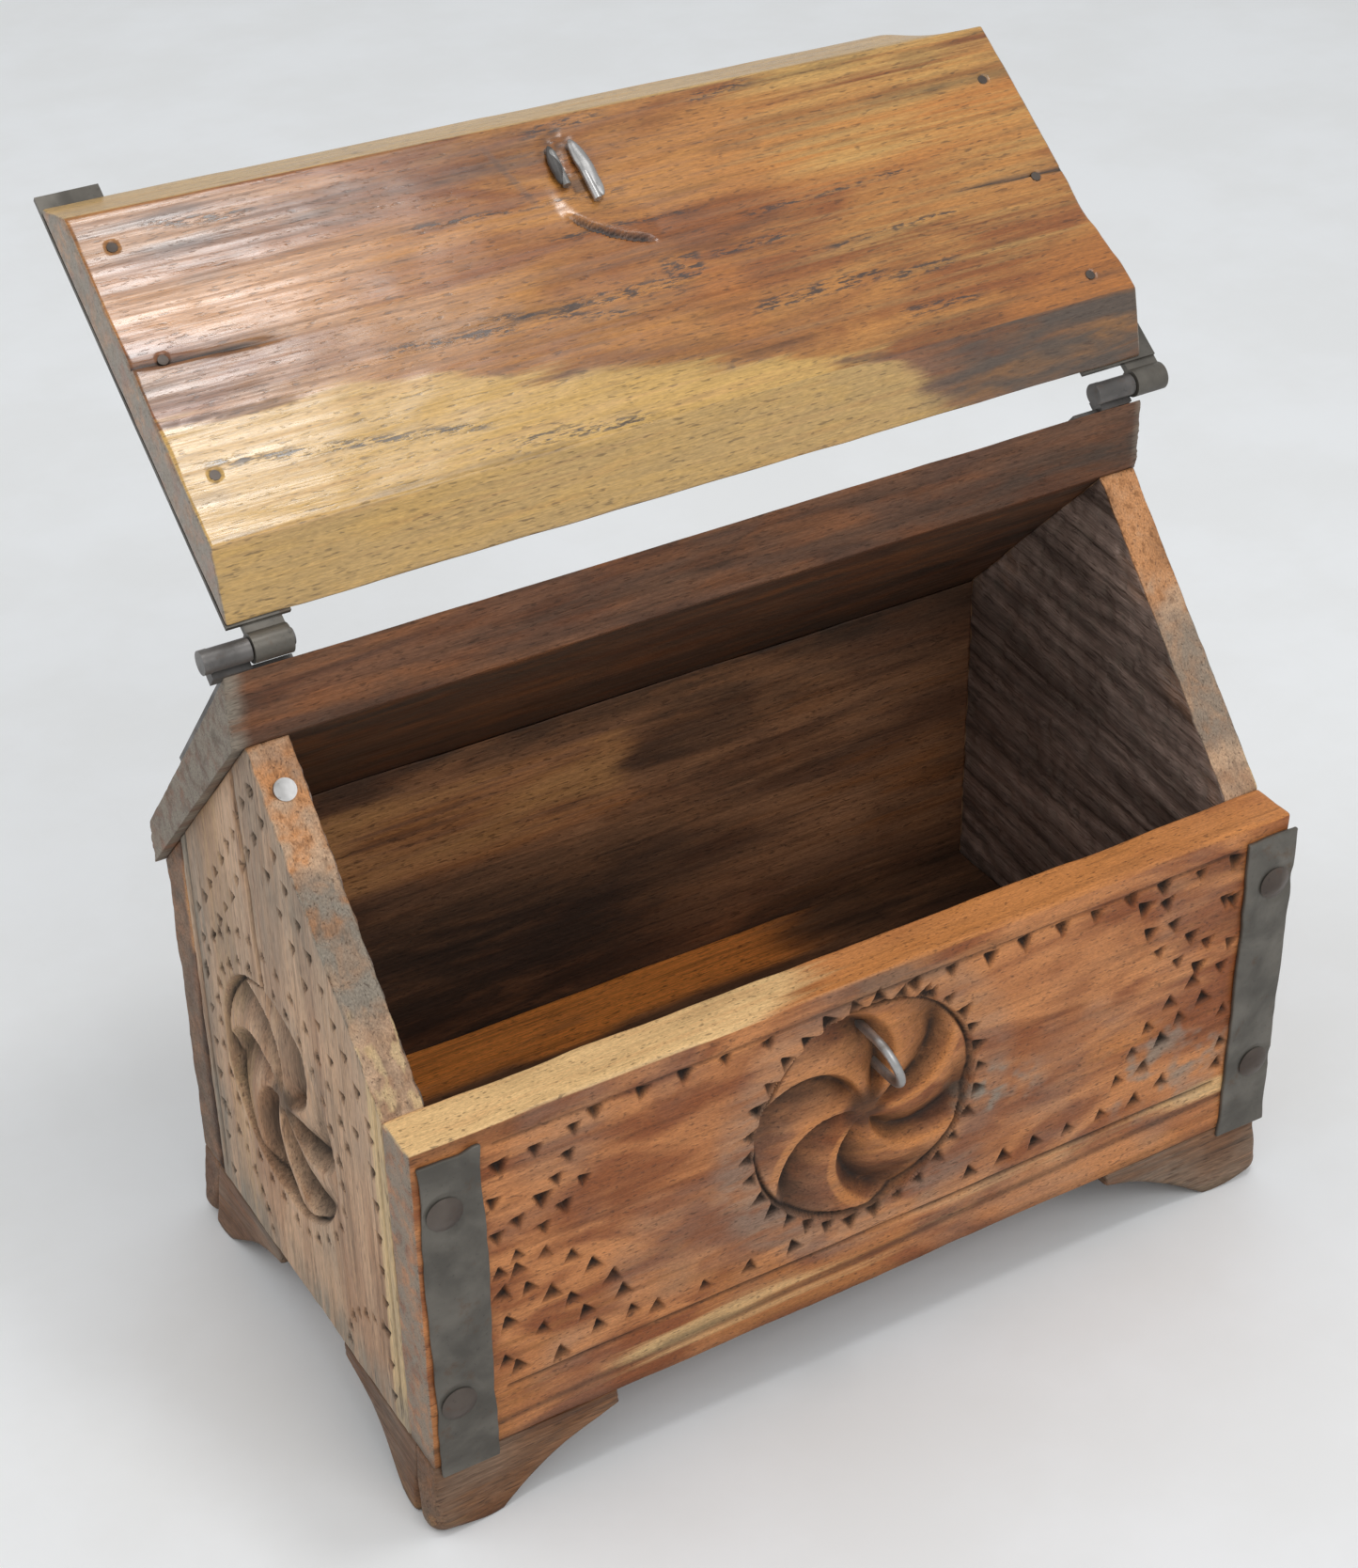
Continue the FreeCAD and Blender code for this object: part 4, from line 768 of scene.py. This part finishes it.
def foot(node, seed):
    """A bracket foot: its toe rounded and flared, its lower edge rising in a cove."""
    low, high = box_mm(node)
    run = 1 if node.endswith("side") else 0
    flat, quads = box_skin([grid_lines(a, b, 1.0, 2.0) for a, b in zip(low, high)])
    outward = np.sign((low + high) / 2 - [0, BOX_MIDDLE, 0])
    box_edge = np.where(outward > 0, [front_high[0], back_high[1], 0], [front_low[0], front_low[1], 0])
    from_corner = outward[run] * (box_edge[run] - flat[:, run])
    toe = step(20, 3, from_corner) * step(16, 2, flat[:, 2])
    points = worn(flat, low, high, np.clip(1.0 + 4.6 * toe + 0.5 * layered(flat, 12, seed), 0.4, 5.8))
    height = high[2] - low[2]
    share = (points[:, 2] - low[2]) / height
    t = np.clip((from_corner - FOOT_LAND) / (FOOT_LENGTH - FOOT_LAND), 0, 1)
    under = t * (height - FOOT_TIP) + FOOT_SAG * np.sin(np.pi * t)
    points[:, 2] = low[2] + under + share * (height - under)
    flare = FOOT_FLARE * (1 - share) ** 1.4 * step(40, 6, from_corner)
    flare += 0.3 * layered(flat, (16, 16, 9), seed + 3)
    points[:, :2] += outward[:2] * flare[:, None]
    points[:, 2] += 0.6 * noise(flat, 14, seed + 5) * (under > 0.5) * (1 - share)
    wander = layered(flat, (30, 30, 6), seed + 7)
    worn_toe = step(0.5, 0.1, share) * (1 - t)
    masks = {"sap": 0.30 * worn_toe + 0.15 * wander, "fresh": 0.25 + 0.3 * wander, "dark": 0.30 + 0.4 * wander,
             # Darker towards the bottom of the foot.
             "grey": 0.28 + 0.3 * layered(flat, 22, seed + 9), "dirt": 0.15 + 0.35 * step(0.12, 0.0, share)}
    stand_for(mesh_object(node + "_wood", points, quads, masks), node, "box")
    return bpy.data.objects[node + "_wood"]


foot_objects = {name: foot(name, 161 + 11 * n) for n, name in enumerate(sorted(foot_nodes))}
print("straps", len(strap_objects), "feet", len(foot_objects))

# %% [markdown]
# ## Materials
# One group draws wood from the grain position and the masks, another draws old iron.

# %% Node helpers
def put(tree, kind, **settings):
    """Adds a node and sets its properties."""
    node = tree.nodes.new(kind)
    for name, setting in settings.items():
        setattr(node, name, setting)
    return node


def feed(tree, socket, source):
    """Links a socket from another socket, or sets its value."""
    if isinstance(source, bpy.types.NodeSocket):
        tree.links.new(source, socket)
    else:
        socket.default_value = source


def noise_of(tree, vector, scale, detail=3.0, rough=0.55, distortion=0.0):
    node = put(tree, "ShaderNodeTexNoise")
    for name, source in (("Vector", vector), ("Scale", scale), ("Detail", detail),
                         ("Roughness", rough), ("Distortion", distortion)):
        feed(tree, node.inputs[name], source)
    return node.outputs["Fac"]


def span(tree, source, low, high, to_low=0.0, to_high=1.0):
    """Maps a value from one range to another, smoothly and clamped."""
    node = put(tree, "ShaderNodeMapRange", interpolation_type="SMOOTHSTEP")
    for name, part in (("Value", source), ("From Min", low), ("From Max", high),
                       ("To Min", to_low), ("To Max", to_high)):
        feed(tree, node.inputs[name], part)
    return node.outputs["Result"]


def maths(tree, operation, first, second):
    node = put(tree, "ShaderNodeMath", operation=operation)
    feed(tree, node.inputs[0], first)
    feed(tree, node.inputs[1], second)
    return node.outputs[0]


def blend(tree, factor, first, second, kind="MIX"):
    node = put(tree, "ShaderNodeMix", data_type="RGBA", blend_type=kind)
    feed(tree, node.inputs["Factor"], factor)
    feed(tree, node.inputs["A"], first)
    feed(tree, node.inputs["B"], second)
    return node.outputs["Result"]


def new_group(name, inputs, outputs):
    """A shader node group with named sockets, given as (name, type)."""
    tree = bpy.data.node_groups.new(name, "ShaderNodeTree")
    for label, kind in inputs:
        tree.interface.new_socket(label, in_out="INPUT", socket_type="NodeSocket" + kind)
    for label, kind in outputs:
        tree.interface.new_socket(label, in_out="OUTPUT", socket_type="NodeSocket" + kind)
    return tree, put(tree, "NodeGroupInput").outputs, put(tree, "NodeGroupOutput").inputs


# %% Wood group
WOOD_INPUTS = [("Grain", "Vector"), ("Figure", "Vector"), ("Heart", "Color"), ("Ember", "Color"),
               ("Sapwood", "Color"), ("Orange", "Color"), ("Shadow", "Color"), ("Polish", "Float"),
               ("Sap", "Float"),
               ("Fresh", "Float"), ("Dark", "Float"), ("Grey", "Float"), ("Dirt", "Float"), ("Pits", "Float"),
               ("Lines", "Float")]
MASKS = ("Sap", "Fresh", "Dark", "Grey", "Dirt", "Pits")
SURFACE_OUTPUTS = [("Color", "Color"), ("Roughness", "Float"), ("Height", "Float")]
GREY_WOOD = (0.285, 0.245, 0.195, 1)
DIRT_AND_SHADE = (0.026, 0.020, 0.017, 1)
PIT_COLOUR = (0.040, 0.034, 0.034, 1)


def grey_of(tree, value):
    node = put(tree, "ShaderNodeCombineColor")
    for channel in ("Red", "Green", "Blue"):
        feed(tree, node.inputs[channel], value)
    return node.outputs["Color"]


def wood_group():
    tree, given, out = new_group("wood_figure", WOOD_INPUTS, SURFACE_OUTPUTS)
    grain, place = given["Grain"], given["Figure"]
    figure = noise_of(tree, place, 60, 4, 0.55, 0.9)
    line = noise_of(tree, grain, 420, 5, 0.65, 0.25)
    fine = noise_of(tree, grain, 1700, 3, 0.6)
    fibre = noise_of(tree, place, 2600, 2)
    pores = span(tree, noise_of(tree, place, 1350, 1.5), 0.60, 0.70)
    patches = noise_of(tree, place, 170, 3, 0.6, 0.5)
    specks = span(tree, noise_of(tree, place, 1000, 3, 0.7), 0.47, 0.57)
    dark_lines = maths(tree, "MULTIPLY", span(tree, line, 0.50, 0.66), given["Lines"])
    wavering = maths(tree, "MULTIPLY", maths(tree, "SUBTRACT", line, 0.5), 1.1)
    heart = blend(tree, span(tree, figure, 0.36, 0.64), given["Heart"], given["Ember"])
    # This mask is orange wood, and also painted light on the crests and along the inner faces' top edges.
    fresh = span(tree, maths(tree, "ADD", given["Fresh"], wavering), 0.15, 0.95)
    heart = blend(tree, fresh, heart, given["Orange"])
    heart = blend(tree, maths(tree, "MULTIPLY", dark_lines, 0.55), heart, given["Shadow"])
    pale = blend(tree, maths(tree, "MULTIPLY", dark_lines, 0.50), given["Sapwood"], given["Ember"])
    colour = blend(tree, span(tree, maths(tree, "ADD", given["Sap"], wavering), 0.2, 0.8), heart, pale)
    shadow = maths(tree, "MULTIPLY", given["Dark"], span(tree, patches, 0.30, 0.62, 0.45, 1.0))
    colour = blend(tree, shadow, colour, given["Shadow"])
    grey = maths(tree, "MULTIPLY", given["Grey"], span(tree, patches, 0.32, 0.60, 0.35, 1.0))
    colour = blend(tree, grey, colour, GREY_WOOD)
    colour = blend(tree, maths(tree, "MULTIPLY", pores, 0.50), colour, given["Shadow"])
    # This mask holds real dirt and painted shade in carved hollows, grooves and cracks.
    dirt = maths(tree, "MULTIPLY", given["Dirt"], span(tree, patches, 0.28, 0.55, 0.7, 0.97))
    colour = blend(tree, dirt, colour, DIRT_AND_SHADE)
    pits = maths(tree, "MULTIPLY", given["Pits"], specks)
    colour = blend(tree, maths(tree, "MULTIPLY", pits, 0.85), colour, PIT_COLOUR)
    fine_grey = grey_of(tree, span(tree, fine, 0.3, 0.7, 0.76, 1.18))
    colour = blend(tree, given["Lines"], colour, fine_grey, "MULTIPLY")
    colour = blend(tree, 1.0, colour, grey_of(tree, span(tree, fibre, 0.3, 0.7, 0.84, 1.12)), "MULTIPLY")
    feed(tree, out["Color"], colour)
    rough = maths(tree, "ADD", span(tree, line, 0.35, 0.7, 0.0, 0.16), maths(tree, "MULTIPLY", dirt, 0.3))
    rough = maths(tree, "ADD", rough, maths(tree, "MULTIPLY", grey, 0.22))
    feed(tree, out["Roughness"], maths(tree, "ADD", rough, maths(tree, "SUBTRACT", 0.55, given["Polish"])))
    raised = maths(tree, "ADD", maths(tree, "MULTIPLY", fibre, 0.3), maths(tree, "MULTIPLY", line, 0.5))
    raised = maths(tree, "ADD", raised, maths(tree, "MULTIPLY", fine, 0.5))
    sunk = maths(tree, "ADD", maths(tree, "MULTIPLY", pores, 0.5), maths(tree, "MULTIPLY", pits, 0.8))
    feed(tree, out["Height"], maths(tree, "SUBTRACT", raised, sunk))
    return tree


wood_figure = wood_group()

# %% Iron group
def iron_group():
    inputs = [("Place", "Vector"), ("Dull", "Color"), ("Worn", "Color"), ("Rust", "Color")]
    tree, given, out = new_group("old_iron", inputs, SURFACE_OUTPUTS)
    broad = noise_of(tree, given["Place"], 60, 4, 0.55, 0.4)
    pits = noise_of(tree, given["Place"], 700, 4, 0.65)
    colour = blend(tree, span(tree, broad, 0.30, 0.72), given["Dull"], given["Worn"])
    rust = maths(tree, "MULTIPLY", span(tree, noise_of(tree, given["Place"], 130, 5, 0.7), 0.55, 0.72), 0.5)
    colour = blend(tree, rust, colour, given["Rust"])
    colour = blend(tree, span(tree, pits, 0.58, 0.76, 0.0, 0.45), colour, (0.014, 0.013, 0.013, 1))
    feed(tree, out["Color"], colour)
    rough = maths(tree, "ADD", span(tree, broad, 0.3, 0.7, 0.56, 0.42), maths(tree, "MULTIPLY", rust, 0.3))
    feed(tree, out["Roughness"], rough)
    feed(tree, out["Height"], maths(tree, "ADD", broad, maths(tree, "MULTIPLY", pits, 0.3)))
    return tree


old_iron = iron_group()

# %% Materials
def finished(name, tree_group, links, bump, metallic=0.0, specular=0.5):
    """A material of one Principled surface fed by a group; links maps group inputs to values or sources."""
    material = bpy.data.materials.new(name)
    material.use_nodes = True
    tree = material.node_tree
    shader = tree.nodes["Principled BSDF"]
    group = put(tree, "ShaderNodeGroup", node_tree=tree_group)
    for label, source in links(tree).items():
        feed(tree, group.inputs[label], source)
    feed(tree, shader.inputs["Base Color"], group.outputs["Color"])
    feed(tree, shader.inputs["Roughness"], group.outputs["Roughness"])
    relief = put(tree, "ShaderNodeBump")
    relief.inputs["Strength"].default_value = bump
    relief.inputs["Distance"].default_value = 0.4 * MM
    feed(tree, relief.inputs["Height"], group.outputs["Height"])
    feed(tree, shader.inputs["Normal"], relief.outputs["Normal"])
    shader.inputs["Metallic"].default_value = metallic
    shader.inputs["Specular IOR Level"].default_value = specular
    return material


def placed(tree, axis=0, stretch=1.0, tilt=0.0):
    """Object coordinates drawn out along one axis, which is first tilted about X."""
    mapping = put(tree, "ShaderNodeMapping", vector_type="TEXTURE")
    feed(tree, mapping.inputs["Vector"], put(tree, "ShaderNodeTexCoord").outputs["Object"])
    scale = [1.0, 1.0, 1.0]
    scale[axis] = stretch
    mapping.inputs["Scale"].default_value = scale
    mapping.inputs["Rotation"].default_value = (tilt, 0, 0)
    return mapping.outputs["Vector"]


ALONG_X, ALONG_Y, ALONG_Z = 0, 1, 2
LINE_STRETCH, FIGURE_STRETCH = 45.0, 9.0
SHADOW = (0.045, 0.022, 0.013, 1)
SAPWOOD = (0.66, 0.41, 0.170, 1)
ORANGE = (0.60, 0.235, 0.070, 1)


def wood(name, axis, heart, ember, sapwood=SAPWOOD, orange=ORANGE, polish=0.16, bump=0.35, specular=0.22,
         tilt=0.0, lines=1.0, figure=FIGURE_STRETCH):
    """Wood whose grain runs along an axis and whose masks are the mesh's attributes."""
    def links(tree):
        chosen = {"Grain": placed(tree, axis, LINE_STRETCH, tilt), "Figure": placed(tree, axis, figure, tilt),
                  "Heart": heart, "Ember": ember, "Sapwood": sapwood, "Orange": orange, "Shadow": SHADOW,
                  "Polish": polish, "Lines": lines}
        for label in MASKS:
            chosen[label] = put(tree, "ShaderNodeAttribute", attribute_name=label.lower()).outputs["Fac"]
        return chosen
    return finished(name, wood_figure, links, bump, specular=specular)


def iron(name, dull, worn_colour, rust, metallic):
    return finished(name, old_iron, lambda tree: {"Place": placed(tree), "Dull": dull,
                                                  "Worn": worn_colour, "Rust": rust}, 0.35, metallic)


FRONT_HEART, FRONT_EMBER = (0.27, 0.082, 0.026, 1), (0.60, 0.245, 0.088, 1)
front_wood = wood("front_wood", ALONG_X, FRONT_HEART, FRONT_EMBER, (0.80, 0.52, 0.24, 1),
                  bump=0.28, lines=0.45, figure=3.2)
side_wood = wood("side_wood", ALONG_Z, (0.42, 0.230, 0.125, 1), (0.62, 0.390, 0.235, 1), (0.72, 0.50, 0.25, 1),
                 (0.62, 0.28, 0.110, 1), lines=0.7)
inner_wood = wood("inner_wood", ALONG_X, (0.17, 0.075, 0.038, 1), (0.37, 0.170, 0.078, 1),
                  (0.52, 0.250, 0.090, 1), (0.95, 0.320, 0.065, 1), 0.10, 0.5, 0.18, lines=0.8, figure=5.0)
sawn_wood = wood("sawn_wood", ALONG_Y, (0.30, 0.222, 0.185, 1), (0.58, 0.430, 0.360, 1), (0.56, 0.35, 0.20, 1),
                 (0.46, 0.20, 0.070, 1), 0.12, 0.7, 0.25, math.radians(6))
roof_wood = wood("roof_wood", ALONG_X, (0.150, 0.052, 0.022, 1), (0.30, 0.110, 0.040, 1),
                 orange=(0.46, 0.16, 0.05, 1), lines=0.7, figure=5.0)
lid_wood = wood("lid_wood", ALONG_X, (0.27, 0.085, 0.020, 1), (0.52, 0.225, 0.055, 1), (0.62, 0.375, 0.110, 1),
                (0.52, 0.185, 0.036, 1), 0.36, 0.10, 0.7, lines=0.55, figure=6.0)
FOOT_HEART, FOOT_EMBER = (0.165, 0.068, 0.028, 1), (0.27, 0.122, 0.052, 1)
foot_wood = wood("foot_wood", ALONG_X, FOOT_HEART, FOOT_EMBER, bump=0.5)
side_foot_wood = wood("side_foot_wood", ALONG_Y, FOOT_HEART, FOOT_EMBER, bump=0.5)
strap_iron = iron("strap_iron", (0.084, 0.076, 0.064, 1), (0.150, 0.136, 0.114, 1),
                  (0.130, 0.078, 0.048, 1), 0.40)
hinge_iron = iron("hinge_iron", (0.082, 0.076, 0.072, 1), (0.175, 0.164, 0.155, 1),
                  (0.130, 0.078, 0.052, 1), 0.5)
nail_iron = iron("nail_iron", (0.070, 0.052, 0.042, 1), (0.115, 0.092, 0.076, 1),
                 (0.130, 0.062, 0.034, 1), 0.4)
bright_wire = iron("bright_wire", (0.24, 0.235, 0.225, 1), (0.52, 0.51, 0.50, 1), (0.22, 0.14, 0.09, 1), 0.9)


def dress(thing, material):
    thing.data.materials.clear()
    thing.data.materials.append(material)


for thing, material in [(front_object, front_wood), (back_object, inner_wood), (floor_object, inner_wood),
                        (roof_object, roof_wood), (lid_object, lid_wood)]:
    dress(thing, material)
for thing, inner_quads in side_objects:
    dress(thing, side_wood)
    thing.data.materials.append(sawn_wood)
    thing.data.polygons.foreach_set("material_index", inner_quads.astype(np.int32))
for thing in strap_objects:
    dress(thing, strap_iron)
for name, thing in foot_objects.items():
    dress(thing, side_foot_wood if name.endswith("side") else foot_wood)
dress(tails[0], bright_wire)
dress(tails[1], hinge_iron)
for group_of_nodes, material, softness in ((iron_nodes, strap_iron, 0.35), (hinge_nodes, hinge_iron, 0.35),
                                           (nail_nodes, nail_iron, 0.0), (wire_nodes, bright_wire, 0.0)):
    for name in group_of_nodes:
        dress(nodes[name], material)
        if softness:
            soften(name, softness)
dress(nodes["side_edge_nail"], bright_wire)
print("materials", len(bpy.data.materials))

# %% [markdown]
# ## Floor, light and camera
# A pale floor, a soft sky, a lamp overhead whose reflection lies on the lid's left end, and two soft
# fills. The camera stands where the photograph was taken from.

# %% Floor and light
def floor_material():
    material = bpy.data.materials.new("pale_floor")
    material.use_nodes = True
    tree = material.node_tree
    shader = tree.nodes["Principled BSDF"]
    place = put(tree, "ShaderNodeTexCoord").outputs["Object"]
    mottle = span(tree, noise_of(tree, place, 9, 5, 0.6), 0.35, 0.65)
    feed(tree, shader.inputs["Base Color"], blend(tree, mottle, (0.89, 0.90, 0.90, 1), (0.925, 0.94, 0.95, 1)))
    shader.inputs["Roughness"].default_value = 0.6
    return material


bpy.ops.mesh.primitive_plane_add(size=12, location=(0, 0, 0))
ground = bpy.context.object
ground.name = "ground"
dress(ground, floor_material())

scene = bpy.context.scene
world = bpy.data.worlds.new("studio")
scene.world = world
world.use_nodes = True
world.node_tree.nodes["Background"].inputs["Color"].default_value = (0.97, 0.985, 1.0, 1)
world.node_tree.nodes["Background"].inputs["Strength"].default_value = 0.62


def lamp(name, place, target, size, power):
    light = bpy.data.lights.new(name, "AREA")
    light.shape = "DISK"
    light.size = size
    light.energy = power
    thing = bpy.data.objects.new(name, light)
    thing.location = place
    thing.rotation_euler = (Vector(target) - Vector(place)).to_track_quat("-Z", "Y").to_euler()
    scene.collection.objects.link(thing)


lamp("overhead", (0.25, -0.15, 1.60), (-0.1, 0.05, 0.25), 0.27, 3.4)
lamp("window", (-1.2, 0.6, 1.6), (0, 0, 0.15), 1.3, 5)
lamp("fill", (0.3, -1.6, 1.5), (0, 0, 0.1), 1.2, 9)
scene.view_settings.view_transform = "Standard"

# %% Camera
CAMERA_PLACE = Vector((-377.45, BOX_MIDDLE - 620.43, 648.58)) * MM
AZIMUTH, ELEVATION, ROLL = math.radians(-30.142), math.radians(33.982), math.radians(1.018)
FOCAL_PIXELS, LONG_SIDE_PIXELS = 3121.94, 1668
reach = math.cos(ELEVATION)
backward = Vector((math.sin(AZIMUTH) * reach, -math.cos(AZIMUTH) * reach, math.sin(ELEVATION)))
level = Vector((math.cos(AZIMUTH), math.sin(AZIMUTH), 0))
upright = backward.cross(level)
right = level * math.cos(ROLL) - upright * math.sin(ROLL)
upward = level * math.sin(ROLL) + upright * math.cos(ROLL)
camera = bpy.data.objects.new("camera", bpy.data.cameras.new("camera"))
scene.collection.objects.link(camera)
camera_turn = Matrix((right, upward, backward)).transposed().to_4x4()
camera.matrix_world = Matrix.Translation(CAMERA_PLACE) @ camera_turn
camera.data.sensor_width = 36
camera.data.lens = FOCAL_PIXELS / LONG_SIDE_PIXELS * 36
scene.camera = camera
